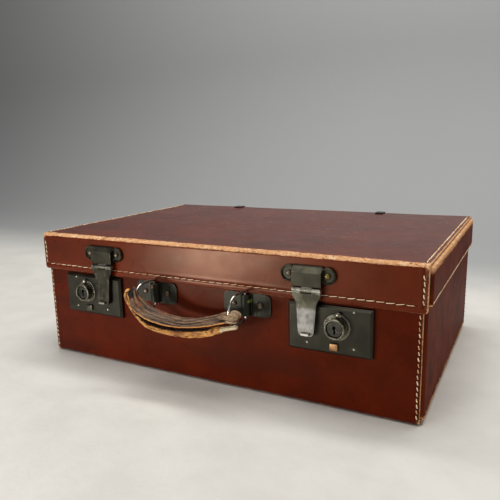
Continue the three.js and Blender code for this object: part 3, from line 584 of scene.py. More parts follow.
def leather_sheet(name, middle, edge, thickness, relief, material, wear, seam, normal=None, flip=False):
    """A closed sheet of leather about a grid of middle points [i, j, 3]. edge is the distance to
    the nearest cut edge, where the sheet is rounded; relief is added on the outside."""
    if normal is None:
        normal = grid_normals(middle)
    if flip:
        normal = -normal
    radius = thickness / 2
    inside = np.clip(1 - edge / radius, 0, 1)
    half = radius * np.sqrt(np.maximum(0, 1 - inside ** 2))
    fade = np.clip(edge / radius, 0, 1)[..., None]
    outer = middle + normal * (half[..., None] + relief[..., None] * fade)
    inner = middle - normal * half[..., None]
    rows, columns = edge.shape
    index = np.arange(rows * columns).reshape(rows, columns)
    border = np.zeros((rows, columns), bool)
    border[0, :] = border[-1, :] = border[:, 0] = border[:, -1] = True
    under = index.copy()
    under[~border] = rows * columns + np.arange((~border).sum())
    points = np.concatenate([outer.reshape(-1, 3), inner[~border]])
    quads = np.stack([index[:-1, :-1], index[1:, :-1], index[1:, 1:], index[:-1, 1:]], -1).reshape(-1, 4)
    below = np.stack([under[:-1, :-1], under[:-1, 1:], under[1:, 1:], under[1:, :-1]], -1).reshape(-1, 4)
    if flip:
        quads = quads[:, ::-1]
        below = below[:, ::-1]
    thing = new_object(name, points, np.concatenate([quads, below]).tolist(), [material])
    hidden = (~border).sum()
    set_attribute(thing, "wear", np.concatenate([wear.ravel(), np.full(hidden, FAR)]))
    set_attribute(thing, "seam", np.concatenate([seam.ravel(), np.full(hidden, FAR)]))
    set_attribute(thing, "flesh", np.concatenate([np.zeros(rows * columns), np.ones(hidden)]))
    return thing


def groove(distance, depth=0.35, width=0.9):
    return -depth * np.exp(-(distance / width) ** 2)


# ---------------------------------------------------------------- stitching

def closed_tube(first, rings, sides):
    """The faces of a tube with closed ends, whose rings of points start at number first."""
    faces = []
    for ring in range(rings - 1):
        for s in range(sides):
            a = first + ring * sides + s
            b = first + ring * sides + (s + 1) % sides
            faces.append((a, b, b + sides, a + sides))
    faces.append(tuple(first + s for s in reversed(range(sides))))
    faces.append(tuple(first + (rings - 1) * sides + s for s in range(sides)))
    return faces


# A needle hole's rings of points: how far out of the hide, and their radius. The hole is a dark plug of
# painted shade.
HOLE_RINGS = ((-0.55, 0.3), (-0.15, 0.42), (-0.02, 0.26))


def stitch_row(name, body, start, end, normal, pitch, material, hole, seed, length=0.76, radius=0.33,
               slant=6.0, lift=0.06):
    """Separate stitches along a straight line, each diving into its needle holes at both ends."""
    rng = np.random.default_rng(seed)
    start, end, normal = (np.asarray(v, float) for v in (start, end, normal))
    span = np.linalg.norm(end - start)
    count = int(span // pitch)
    along = (end - start) / span
    side = np.cross(normal, along)
    points, faces = [], []
    sides, rings = 8, 9
    for k in range(count):
        centre = start + along * pitch * (k + 0.5) + side * rng.normal(0, 0.12)
        lean = math.radians(slant + rng.normal(0, 3.0))
        forward = along * math.cos(lean) + side * math.sin(lean)
        beside = np.cross(normal, forward)
        half = pitch * length / 2 * rng.uniform(0.94, 1.06)
        thick = radius * rng.uniform(0.88, 1.12)
        first = len(points)
        for ring in range(rings):
            share = 2 * ring / (rings - 1) - 1
            height = lift + 0.25 * (1 - share ** 2) - 0.75 * abs(share) ** 6
            swell = thick * (1 - 0.35 * abs(share) ** 4)
            middle = centre + forward * half * share + normal * height
            for s in range(sides):
                angle = 2 * math.pi * s / sides
                points.append(middle + beside * swell * 1.15 * math.cos(angle)
                              + normal * swell * 0.9 * math.sin(angle))
        faces += closed_tube(first, rings, sides)
    kinds = [0] * len(faces)
    # The needle holes: dark plugs of painted shade at both ends of each stitch.
    for k in range(count + 1):
        centre = start + along * pitch * k
        first = len(points)
        for out, swell in HOLE_RINGS:
            for s in range(sides):
                angle = 2 * math.pi * s / sides
                points.append(centre + along * swell * math.cos(angle) * 1.15
                              + side * swell * math.sin(angle) + normal * out)
        faces += closed_tube(first, len(HOLE_RINGS), sides)
    kinds += [1] * (len(faces) - len(kinds))
    thing = new_object(name, points, faces, [material, hole], kinds)
    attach(thing, body)
    return thing


# ---------------------------------------------------------------- the case's leather

HIDE_THICK = 2.2
FOLD = 4.0                   # the wraps' folds, outside
LID_PITCH = 7.72             # from stitch to stitch in the lid's long rows
SEAM_PITCH = 4.9             # and in all the others
LID_ROW = 5.6                # the lid's long thread rows, above its lower edge
SEAM_INSET = 3.6             # the end seams' thread rows, in from the wrap's cut edges
BASE_SEAM_INSET = 2.6        # the same on the base
END_ROW = 6.0                # the thread rows near the base end panels' folds
LID_END_ROW = 2.6            # the lid end panels' thread rows, above their lower edges
END_FOLD = 2.6               # the end panels' folds, outside
CUT_CORNER = 3.2             # the wraps' rounded cut corners
SIDES = (("left", -1), ("right", 1))
WALLS = (("front", -1), ("back", 1))


def wrap_profile(low, high, spacing_side, opens_up, stops):
    """The folded sheet's middle line in Y and Z from the front cut edge to the back one, with
    the distance of each point from the nearest cut edge. stops are grid lines up the front."""
    half_y = high[1] - HIDE_THICK / 2
    closed = low[2] + HIDE_THICK / 2 if opens_up else high[2] - HIDE_THICK / 2
    opened = high[2] if opens_up else low[2]
    turn = 1 if closed > opened else -1
    bend = FOLD - HIDE_THICK / 2
    rise = abs(closed - opened) - bend
    front = [(-half_y, opened + turn * d) for d in stops if d < rise - 0.2]
    arc = []
    for k in range(10):
        angle = math.pi / 2 * k / 9
        arc.append((-half_y + bend * (1 - math.cos(angle)), opened + turn * (rise + bend * math.sin(angle))))
    flat = steps([(0, 0.8), (8, 2.5), (18, spacing_side)] + [(half_y - bend, 1.0)])
    across = [(-half_y + bend + d, closed) for d in flat[1:]]
    half = front + arc + across
    mirrored = [(-y, z) for y, z in reversed(half[:-1])]
    line = np.array(half + mirrored)
    lengths = np.concatenate([[0], np.cumsum(np.linalg.norm(np.diff(line, axis=0), axis=1))])
    return line, np.minimum(lengths, lengths[-1] - lengths)


def make_wrap(name, node, body, material, opens_up, columns, stops, rows, wear_at, seed):
    """One wrap of the case. rows are the thread rows as (axis, position, pitch, phase)."""
    low, high = node_box(node)
    line, inward = wrap_profile(low, high, 8.0, opens_up, stops)
    xs = with_edges(columns, low[0], high[0])
    count_x, count_p = len(xs), len(line)
    x = np.repeat(xs[:, None], count_p, 1)
    y = np.repeat(line[None, :, 0], count_x, 0)
    z = np.repeat(line[None, :, 1], count_x, 0)
    dx = np.minimum(x - low[0], high[0] - x)
    dp = np.repeat(inward[None, :], count_x, 0)
    edge = np.minimum(dx, dp)
    round_x, round_p = round_corner(dx, dp, CUT_CORNER)
    x = x + np.sign(x) * (dx - round_x)
    opened = high[2] if opens_up else low[2]
    turn = -1 if opens_up else 1
    z = z + turn * (round_p - dp)
    # The cut edges wander a little.
    z = z + turn * ripple(x, y, seed, 70, 0.3) * np.exp(-dp / 6)
    middle = np.stack([x, y, z], -1)
    relief = ripple(x, y + z, seed + 1, 90, 0.16) + ripple(x, y + z, seed + 2, 22, 0.035)
    seam = np.full(edge.shape, FAR)
    on_side = (np.abs(z - opened) > 0) & (np.abs(y) > high[1] - HIDE_THICK)
    for kind, position, pitch, phase in rows:
        if kind == "long":
            distance = np.where(on_side, np.abs(dp - position), FAR)
            wave = np.cos(2 * np.pi * (x - phase) / pitch)
        else:
            distance = np.abs(x - position)
            distance = np.where(np.abs(dp) > 4.0, distance, FAR)
            wave = np.cos(2 * np.pi * (z - phase) / pitch)
        relief = relief + groove(distance) * (0.75 + 0.35 * wave)
        relief = relief + 0.1 * np.exp(-((distance - 2.4) / 1.1) ** 2)
        seam = np.minimum(seam, distance)
    wear = wear_at(x, y, z, dx, dp)
    thing = leather_sheet(name, middle, edge, HIDE_THICK, relief, material, wear, seam, flip=opens_up)
    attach(thing, body)
    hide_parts(node)
    return thing


def corner_distance(x, y, rise, high):
    """Distance from a corner of the wrap that stands just outside its end."""
    return np.sqrt((high[0] + 2.5 - np.abs(x)) ** 2 + (high[1] - np.abs(y)) ** 2 + rise ** 2)


def lid_wear(low, high):
    def wear_at(x, y, z, dx, dp):
        front = np.maximum((high[2] - z - 3.0) / 1.1 + 0.9, (y - low[1] + 0.6) / 6.4)
        back = np.maximum((high[2] - z) / 2.4, (high[1] - y) / 3.6)
        ends = dx / 1.1 + 0.15
        rim = dp / 0.6 + 0.55
        corner = corner_distance(x, y, high[2] - z, high) / 6.5
        return np.minimum.reduce([front, back, ends, rim, corner])
    return wear_at


def base_wear(low, high):
    def wear_at(x, y, z, dx, dp):
        front = np.maximum((z - low[2]) / 1.7, (y - low[1]) / 2.4)
        back = np.maximum((z - low[2]) / 1.7, (high[1] - y) / 2.4)
        ends = dx / 0.9 + 0.25
        rim = dp / 1.0 + 0.2
        corner = corner_distance(x, y, z - low[2], high) / 6.0
        return np.minimum.reduce([front, back, ends, rim, corner])
    return wear_at


def make_end_panel(name, node, body, material, opens_up, wear_at, rows, seed):
    """An end wall folded in on three sides, from a grid whose border is bent round."""
    low, high = node_box(node)
    side = 1 if high[0] > 0 else -1
    face_x = (high[0] if side > 0 else -low[0]) - HIDE_THICK / 2
    bend = END_FOLD - HIDE_THICK / 2
    half_y = high[1] - HIDE_THICK / 2
    opened = high[2] if opens_up else low[2]
    closed = low[2] + HIDE_THICK / 2 if opens_up else high[2] - HIDE_THICK / 2
    turn = 1 if closed > opened else -1
    flap = (high[0] - low[0]) - HIDE_THICK / 2 - bend + bend * math.pi / 2
    fold = [0.0, 0.35, 0.75, 1.15, 1.55, 1.95, bend * math.pi / 2, 3.0, 4.2, 6.5, 9.5, flap - 1.15]
    fold += [flap - e for e in (0.75, 0.42, 0.2, 0.06, 0.0)]
    core_y = half_y - bend
    inner = [core_y - d for d in graded(0, core_y, 0.8, 7.0, 0.25, (END_ROW,))[::-1]]
    half_line = [0.0] + [v for v in inner if 1.0 < v < core_y - 0.3] + [core_y + d for d in fold]
    a_line = np.array([-v for v in reversed(half_line[1:])] + half_line)
    rise = abs(closed - opened) - bend
    up = list(EDGE_STEPS) + [v for v in graded(EDGE_STEPS[-1], rise, 0.6, 5.0, 0.25, (rise - END_ROW,))
                             if EDGE_STEPS[-1] + 0.3 < v < rise - 0.3]
    b_line = np.array(up + [rise + d for d in fold])
    a, b = np.meshgrid(a_line, b_line, indexing="ij")
    over_a = np.maximum(0, np.abs(a) - core_y)
    over_b = np.maximum(0, b - rise)
    reach = np.maximum(over_a, over_b)
    angle = np.arctan2(over_b, np.maximum(over_a, 1e-9))
    angle = np.where((over_a > 0) | (over_b > 0), angle, 0)
    turned = np.clip(reach / bend, 0, math.pi / 2)
    out = bend * np.sin(turned)
    back = bend * (1 - np.cos(turned)) + np.maximum(0, reach - bend * math.pi / 2)
    y = np.clip(a, -core_y, core_y) + np.sign(a) * out * np.cos(angle)
    z = opened + turn * (np.minimum(b, rise) + out * np.sin(angle))
    x = side * (face_x - back)
    middle = np.stack([x, y, z], -1)
    to_flap = flap - reach
    edge = np.minimum(b, to_flap)
    on_face = reach < bend
    relief = ripple(y, z, seed, 80, 0.14) * np.clip(1 - reach / 2, 0, 1)
    seam = np.full(edge.shape, FAR)
    for kind, position in rows:
        if kind == "closed":
            distance = np.where(on_face, np.abs((rise + bend - b) - position), FAR)
        elif kind == "open":
            distance = np.where(on_face, np.abs(b - position), FAR)
        else:
            distance = np.where(on_face, np.abs(half_y - a * position[0] - position[1]), FAR)
        relief = relief + groove(distance, 0.25, 0.8)
        seam = np.minimum(seam, distance)
    wear = wear_at(x, y, z, b)
    normal = grid_normals(middle) * (side * turn)
    thing = leather_sheet(name, middle, edge, HIDE_THICK, relief, material, wear, seam, normal, False)
    if side * turn < 0:
        thing.data.flip_normals()
    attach(thing, body)
    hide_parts(node)
    return thing


def make_case_leather():
    lid_hide = hide_material("lid_hide", srgb(78, 20, 3), srgb(100, 30, 5), 0.31, 2.0)
    base_hide = hide_material("base_hide", srgb(66, 13, 2), srgb(88, 23, 4), 0.13, 40.0)
    # The end panels' hide is painted lighter and greyer than the lid's and base's, with almost no gloss: its
    # own colour plus painted sheen in place of the reflection the ends show.
    end_hide_painted_sheen = hide_material("end_hide_painted_sheen", srgb(88, 32, 17), srgb(112, 49, 30), 0.004, 80.0, 0.1)
    thread = thread_material()
    dull = dull_thread_material()
    hole = hole_shade_material()
    low, high = node_box("lid_wrap")
    top = high[2]
    side_y = high[1]
    lid_seam = high[0] - SEAM_INSET
    columns = steps([(low[0], 0.5), (low[0] + 7, 1.45), (high[0] - 7, 0.5), (high[0], 1)])
    stops = list(EDGE_STEPS) + list(steps([(1.5, 0.6), (3.9, 0.35), (7.3, 0.8), (9.0, 1.25), (60, 1)]))
    stops = [v for v in stops if v < top - low[2]]
    row_start = -lid_seam + 4.0
    rows = [("long", LID_ROW, LID_PITCH, row_start)]
    rows += [("cross", s * lid_seam, SEAM_PITCH, low[2] + LID_ROW) for s in (-1, 1)]
    make_wrap("lid_wrap_leather", "lid_wrap", "lid", lid_hide, False, columns, stops, rows,
              lid_wear(low, high), SEED)
    row_z = low[2] + LID_ROW
    row_end = row_start + LID_PITCH * int((2 * lid_seam - 5.5) // LID_PITCH)
    for suffix, y in WALLS:
        stitch_row(f"lid_row_{suffix}", "lid", (row_start, y * side_y, row_z),
                   (row_end + 0.1, y * side_y, row_z), (0, y, 0), LID_PITCH,
                   thread, hole, 11, slant=-5 * y, length=0.93, radius=0.28)
        for name, s in SIDES:
            stitch_row(f"lid_seam_{suffix}_{name}", "lid", (s * lid_seam, y * side_y, row_z + 0.5),
                       (s * lid_seam, y * side_y, top - 5.0), (0, y, 0), SEAM_PITCH, thread, hole, 21,
                       slant=14, radius=0.42)
    for name, s in SIDES:
        stitch_row(f"lid_top_seam_{name}", "lid", (s * lid_seam, -side_y + 6.5, top),
                   (s * lid_seam, side_y - 6.5, top), (0, 0, 1), SEAM_PITCH,
                   thread, hole, 31, length=0.96, slant=3, radius=0.5)

    low, high = node_box("base_wrap")
    base_seam = high[0] - BASE_SEAM_INSET
    columns = steps([(low[0], 0.5), (low[0] + 7, 3.0), (high[0] - 7, 0.5), (high[0], 1)])
    stops = list(EDGE_STEPS) + list(steps([(1.5, 1.2), (97, 1)]))
    rows = [("cross", s * base_seam, SEAM_PITCH, 3.0) for s in (-1, 1)]
    make_wrap("base_wrap_leather", "base_wrap", "base", base_hide, True, columns, stops, rows,
              base_wear(low, high), SEED + 5)
    for suffix, y in WALLS:
        for name, s in SIDES:
            stitch_row(f"base_seam_{suffix}_{name}", "base", (s * base_seam, y * high[1], 4.6),
                       (s * base_seam, y * high[1], 97.5), (0, y, 0), SEAM_PITCH, thread, hole, 41, slant=14,
                       radius=0.42)
    for name, s in SIDES:
        stitch_row(f"base_under_seam_{name}", "base", (s * base_seam, -high[1] + 6.5, 0.75),
                   (s * base_seam, high[1] - 6.5, 0.75), (0, 0, -1), SEAM_PITCH, dull, hole, 51)

    for name, s in SIDES:
        low, high = node_box(f"lid_end_{name}")
        face = abs(high[0] if s > 0 else low[0])

        def lid_end_wear(x, y, z, b, high=high, face=face):
            top_fold = np.maximum((high[2] - z) / 4.6, (face - np.abs(x)) / 9.0)
            side_fold = np.maximum((high[1] - np.abs(y)) / 1.1, (face - np.abs(x)) / 1.1) + 0.35
            return np.minimum.reduce([top_fold, side_fold, b / 2.2 + 0.05])
        make_end_panel(f"lid_end_leather_{name}", f"lid_end_{name}", "lid", end_hide_painted_sheen, False, lid_end_wear,
                       [("open", LID_END_ROW)], SEED + 8)
        row_z = low[2] + LID_END_ROW
        stitch_row(f"lid_end_row_{name}", "lid", (s * face, -high[1] + 3.0, row_z),
                   (s * face, high[1] - 3.0, row_z), (s, 0, 0), SEAM_PITCH,
                   thread, hole, 61, length=0.8, radius=0.34)

        low, high = node_box(f"base_end_{name}")
        face = abs(high[0] if s > 0 else low[0])

        def base_end_wear(x, y, z, b, low=low, high=high, face=face):
            floor_fold = np.maximum((z - low[2]) / 4.2, (face - np.abs(x)) / 3.0)
            side_fold = np.maximum((high[1] - np.abs(y)) / 1.1, (face - np.abs(x)) / 1.1) + 0.4
            return np.minimum.reduce([floor_fold, side_fold, b / 1.2 + 0.2])
        holes = [("closed", END_ROW), ("side", (1, END_ROW - HIDE_THICK / 2))]
        make_end_panel(f"base_end_leather_{name}", f"base_end_{name}", "base", end_hide_painted_sheen, True, base_end_wear,
                       holes, SEED + 9)
        row_z = low[2] + END_ROW
        stitch_row(f"base_end_row_{name}", "base", (s * face, -high[1] + 6.0, row_z),
                   (s * face, high[1] - 6.0, row_z), (s, 0, 0), SEAM_PITCH,
                   dull, hole, 71, length=0.7, radius=0.4)
        row_y = high[1] - END_ROW
        stitch_row(f"base_end_side_row_{name}", "base", (s * face, row_y, low[2] + END_ROW + 4),
                   (s * face, row_y, 92), (s, 0, 0), SEAM_PITCH, dull, hole, 72, length=0.7, radius=0.4)


# ---------------------------------------------------------------- handle

# Middle lines of the handle's two pieces from left to right, [x, y, z, half thickness].
COVER_LINE = np.array([
    [-57.5, -165.5, 90.0, 6.0], [-54.8, -165.5, 83.8, 6.2], [-49.5, -164.5, 77.6, 6.1],
    [-41.5, -163.2, 72.4, 5.6], [-31, -162, 69.2, 4.8], [-20, -161.4, 67.6, 4.1],
    [-8, -161, 67.2, 3.8], [5, -161, 68.6, 3.6], [20, -161.4, 71.8, 3.7], [33, -162.6, 75.8, 4.0],
    [43, -164, 79.4, 4.7], [50, -165.2, 80.6, 5.6], [54.6, -165.5, 80.0, 5.2],
])
ROLL_LINE = np.array([
    [-59.6, -166, 93.2, 1.5], [-62.6, -166, 90.8, 1.9], [-64.2, -165.6, 86.4, 2.0],
    [-63.0, -165, 80.5, 1.9], [-59, -164.2, 73.4, 1.8], [-52.4, -163.4, 65.9, 2.2],
    [-43.5, -162.6, 60.1, 2.9], [-33, -162, 57.6, 3.0], [-23, -161.8, 56.9, 3.2],
    [-11, -161.6, 56.9, 3.5], [3.7, -161.6, 58.4, 3.9], [21, -162, 61.9, 3.7], [33, -162.8, 66.2, 3.2],
    [38, -163.4, 67.9, 1.9], [46, -164.2, 70.2, 1.7], [53, -165, 72.6, 1.8],
])


def spline(points, count):
    """Evenly spaced points on a smooth curve through the given ones."""
    points = np.asarray(points, float)
    padded = np.concatenate([[2 * points[0] - points[1]], points, [2 * points[-1] - points[-2]]])
    dense = []
    for k in range(len(points) - 1):
        p0, p1, p2, p3 = padded[k:k + 4]
        for t in np.linspace(0, 1, 24, endpoint=False):
            dense.append(0.5 * (2 * p1 + (p2 - p0) * t + (2 * p0 - 5 * p1 + 4 * p2 - p3) * t ** 2
                                + (3 * p1 - p0 - 3 * p2 + p3) * t ** 3))
    dense = np.array(dense + [points[-1]])
    run = np.concatenate([[0], np.cumsum(np.linalg.norm(np.diff(dense[:, :3], axis=0), axis=1))])
    at = np.linspace(0, run[-1], count)
    return np.stack([np.interp(at, run, column) for column in dense.T], -1)


def tube(path, section):
    """Rings about a path in a nearly upright plane. section(share, half thickness) gives how far
    each point of a ring lies up, out and ahead of the path."""
    line = path[:, :3]
    count = len(line)
    tangent = np.gradient(line, axis=0)
    tangent /= np.linalg.norm(tangent, axis=1, keepdims=True)
    outward = np.array([0.0, -1.0, 0.0])
    up = np.cross(outward, tangent)
    up /= np.linalg.norm(up, axis=1, keepdims=True)
    rings = []
    for k in range(count):
        rise, out, ahead = section(k / (count - 1), path[k, 3])
        rings.append(line[k] + rise[:, None] * up[k] + out[:, None] * outward
                     + ahead[:, None] * tangent[k])
    return np.array(rings)


def tube_object(name, rings, materials):
    count, sides = rings.shape[:2]
    first = rings[0].mean(0)
    last = rings[-1].mean(0)
    points = np.concatenate([rings.reshape(-1, 3), [first, last]])
    faces = []
    for k in range(count - 1):
        for s in range(sides):
            a = k * sides + s
            b = k * sides + (s + 1) % sides
            faces.append((a, b, b + sides, a + sides))
    for s in range(sides):
        faces.append((count * sides, (s + 1) % sides, s))
        last_ring = (count - 1) * sides
        faces.append((count * sides + 1, last_ring + s, last_ring + (s + 1) % sides))
    return new_object(name, points, faces, materials)


def lumps(u, v, seed, along, around, amount):
    """Seeded folds that run mostly along a tube. u is mm along it, v the angle round it."""
    rng = np.random.default_rng(seed)
    total = 0.0
    for _ in range(9):
        waves = rng.integers(1, around + 1)
        phase = rng.uniform(0, 2 * math.pi)
        length = along * rng.uniform(0.5, 2.0)
        drift = rng.uniform(0, 2 * math.pi)
        bend = 1.5 * np.sin(u / length + drift)
        total = total + np.sin(waves * v + phase + bend) * np.sin(u / length * 1.7 + phase)
    return amount * total / 3.0


def flow_ridges(u, v):
    """Long wrinkles, -1 to 1, that run along a tube and drift round it."""
    phase = 1.5 * np.sin(u / 21 + 0.6) + 0.8 * np.sin(u / 9.0 + 2.0)
    broad = np.sin(9 * v + phase) * (0.6 + 0.4 * np.sin(u / 16 + 2 * v))
    narrow = np.sin(16 * v - 1.7 * phase + 2.0) * (0.5 + 0.5 * np.sin(u / 10 - 3 * v))
    return 0.6 * broad + 0.4 * narrow


def make_handle():
    count, sides = 260, 72
    angle = np.linspace(0, 2 * math.pi, sides, endpoint=False)
    length = 150.0
    make_handle_cover(count, angle, length)
    make_handle_roll(count, angle, length)


def hollow_place(share, angle):
    """1 in the hollow that the hide has torn open in front, near its right end."""
    return np.exp(-((share - 0.875) / 0.04) ** 2) * np.exp(-((angle - 1.8) / 0.3) ** 2)


def make_handle_cover(count, angle, length):
    top = np.cos(angle)
    front = np.sin(angle)

    def section(share, half):
        left = max(0.0, 1 - share / 0.09)
        right = max(0.0, 1 - (1 - share) / 0.05)
        depth = 7.0 - 1.2 * left - 1.2 * right
        # The lower front edge is drawn out to a thin welt over the split; below it is hollow.
        middle = min(1.0, 7 * share, 9 * (1 - share))
        lip = np.exp(-((angle - math.pi * 0.70) / 0.13) ** 2) * middle
        hollow = np.exp(-((angle - math.pi) / 0.7) ** 2) * middle * (1 - left)
        folds = 0.42 * flow_ridges(share * length, angle)
        folds = folds + lumps(share * length, angle, 6, 4.0, 7, 0.22)
        up = top * (half + folds) + hollow * half * 0.35 - lip * 1.3
        out = front * (depth + folds) + lip * 0.9 - hollow_place(share, angle) * 2.6
        # A deep cleft at the left end, and a notch in the upper edge near the right, for the rings.
        out = out * (1 - 0.45 * left)
        ahead = -left ** 2 * (4.4 * np.tanh(2.5 * np.cos(2 * angle) + 0.8) + 0.5 * np.sin(9 * angle))
        ahead = ahead + right * (0.7 * np.sin(7 * angle) + 1.2 * np.cos(angle - 0.6))
        notch = math.exp(-((share - 0.925) / 0.014) ** 2)
        up = up - np.clip(top, 0, 1) ** 2 * notch * 3.6
        tip = 1 - 0.25 * left ** 8 - 0.3 * right ** 4
        return up * tip, out * tip, ahead

    rings = tube(spline(COVER_LINE, count), section)
    cover = tube_object("handle_cover_leather", rings, [cover_material()])
    share = np.repeat(np.linspace(0, 1, count)[:, None], len(angle), 1)
    around = np.repeat(angle[None, :], count, 0)
    below = np.clip(-np.cos(around), 0, 1)
    welt = np.exp(-((around - math.pi * 0.71) / 0.17) ** 2)
    welt = welt * np.clip(share * 7, 0, 1) * np.clip((1 - share) * 8, 0, 1)
    welt = np.maximum(welt, np.clip(below * 1.6 - 0.3, 0, 1) * np.clip((0.13 - share) * 14, 0, 1))
    fray = np.clip((share - 0.84) * 9, 0, 1)
    # Painted shade, as a mesh attribute: under the cover, at its left end, in the torn hollow and on its end
    # caps.
    under = np.exp(-((around - math.pi * 1.02) / 0.6) ** 2) * np.clip(share * 9 - 0.6, 0, 1)
    under = np.maximum(under, np.clip((0.02 - share) * 90, 0, 1) * np.abs(np.sin(around)) ** 0.5)
    under = np.maximum(under, hollow_place(share, around) * 0.9)
    set_attribute(cover, "ridge", np.concatenate([flow_ridges(share * length, around).ravel(), [0, 0]]))
    set_attribute(cover, "welt", np.concatenate([welt.ravel(), [0, 0]]))
    set_attribute(cover, "fray", np.concatenate([fray.ravel(), [0, 1]]))
    set_attribute(cover, "under", np.concatenate([under.ravel(), [1, 0.6]]))
    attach(cover, "handle")
    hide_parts("handle_cover")


def make_handle_roll(count, angle, length):
    def section(share, half):
        end = abs(2 * share - 1)
        tip = min(1.0, (1 - end) * 30 + 0.45)
        rough = min(1.0, half / 3.0)
        ragged = lumps(share * length, angle, 15, 5.0, 7, 0.3)
        ragged = ragged + lumps(share * length, angle, 16, 1.6, 12, 0.2)
        ragged = ragged + 0.25 * flow_ridges(share * length * 1.3 + 40, angle)
        up = np.cos(angle) * (half * tip + ragged * rough)
        out = np.sin(angle) * (half * 1.35 * tip + ragged * rough)
        return up, out, np.zeros(len(angle))

    rings = tube(spline(ROLL_LINE, count), section)
    roll = tube_object("handle_roll_leather", rings, [roll_material()])
    share = np.repeat(np.linspace(0, 1, count)[:, None], len(angle), 1)
    around = np.repeat(angle[None, :], count, 0)
    fray = np.clip((rings[..., 0] - 35.5) * 0.8, 0, 1)
    # Painted shade along the roll's top, fading out near its right end.
    shade = np.clip(np.cos(around) * 1.5 - 0.35, 0, 1) * np.clip((0.9 - share) * 8, 0, 1)
    set_attribute(roll, "fray", np.concatenate([fray.ravel(), [0, 1]]))
    set_attribute(roll, "shade", np.concatenate([shade.ravel(), [0, 0]]))
    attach(roll, "handle")
    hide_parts("handle_roll")


def make_rings(steel):
    """Smooth wire rings in place of the CAD's coarse ones."""
    for suffix in ("left", "right"):
        low, high = node_box(f"handle_ring_{suffix}")
        wire = (high[0] - low[0]) / 2
        x = (high[0] + low[0]) / 2
        centre_z = (high[2] + low[2]) / 2
        bow = (high[2] - low[2]) / 2 - wire
        leg_y = high[1] - wire
        bow_y = low[1] + wire + bow
        corner = 3.0
        line = []
        for k in range(7):
            a = math.pi / 2 * k / 6
            turn_z = centre_z + bow - corner
            line.append((leg_y - corner + corner * math.cos(a), turn_z + corner * math.sin(a)))
        for k in range(33):
            a = math.pi / 2 + math.pi * k / 32
            line.append((bow_y + bow * math.cos(a), centre_z + bow * math.sin(a)))
        for k in range(7):
            a = -math.pi / 2 + math.pi / 2 * k / 6
            turn_z = centre_z - bow + corner
            line.append((leg_y - corner + corner * math.cos(a), turn_z + corner * math.sin(a)))
        line = np.array(line)
        count = len(line)
        before = np.roll(line, 1, 0)
        after = np.roll(line, -1, 0)
        tangent = after - before
        tangent /= np.linalg.norm(tangent, axis=1, keepdims=True)
        normal = np.stack([tangent[:, 1], -tangent[:, 0]], -1)
        sides = 14
        points = []
        for k in range(count):
            for s in range(sides):
                a = 2 * math.pi * s / sides
                y, z = line[k] + normal[k] * wire * math.cos(a)
                points.append((x + wire * math.sin(a), y, z))
        faces = []
        for k in range(count):
            for s in range(sides):
                a = k * sides + s
                b = k * sides + (s + 1) % sides
                c = ((k + 1) % count) * sides
                faces.append((a, b, c + (s + 1) % sides, c + s))
        thing = new_object(f"handle_ring_wire_{suffix}", points, faces, [steel])
        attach(thing, "base")
        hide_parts(f"handle_ring_{suffix}")


# ---------------------------------------------------------------- metalwork on the CAD's own shapes

def finish_metal(node, main, edge=None, width=0.25, segments=2):
    """Welds and softly rounds a CAD part, with its rounded edges in a brighter, rubbed metal."""
    return round_edges(NODES[node], main, edge, width, segments)


def round_edges(thing, main, edge, width, segments):
    """The materials and the modifiers that finish_metal gives, for any object."""
    mesh = thing.data
    if "custom_normal" in mesh.attributes:
        mesh.attributes.remove(mesh.attributes["custom_normal"])
    mesh.materials.clear()
    mesh.materials.append(main)
    mesh.materials.append(edge or main)
    mesh.polygons.foreach_set("material_index", np.zeros(len(mesh.polygons), np.int32))
    mesh.polygons.foreach_set("use_smooth", np.full(len(mesh.polygons), True))
    weld = thing.modifiers.new("weld", "WELD")
    weld.merge_threshold = 0.01 * MM
    bevel = thing.modifiers.new("round", "BEVEL")
    bevel.width = width * MM
    bevel.segments = segments
    bevel.limit_method = "ANGLE"
    bevel.angle_limit = math.radians(28)
    bevel.harden_normals = True
    bevel.material = 1
    bevel.miter_outer = "MITER_ARC"
    return thing


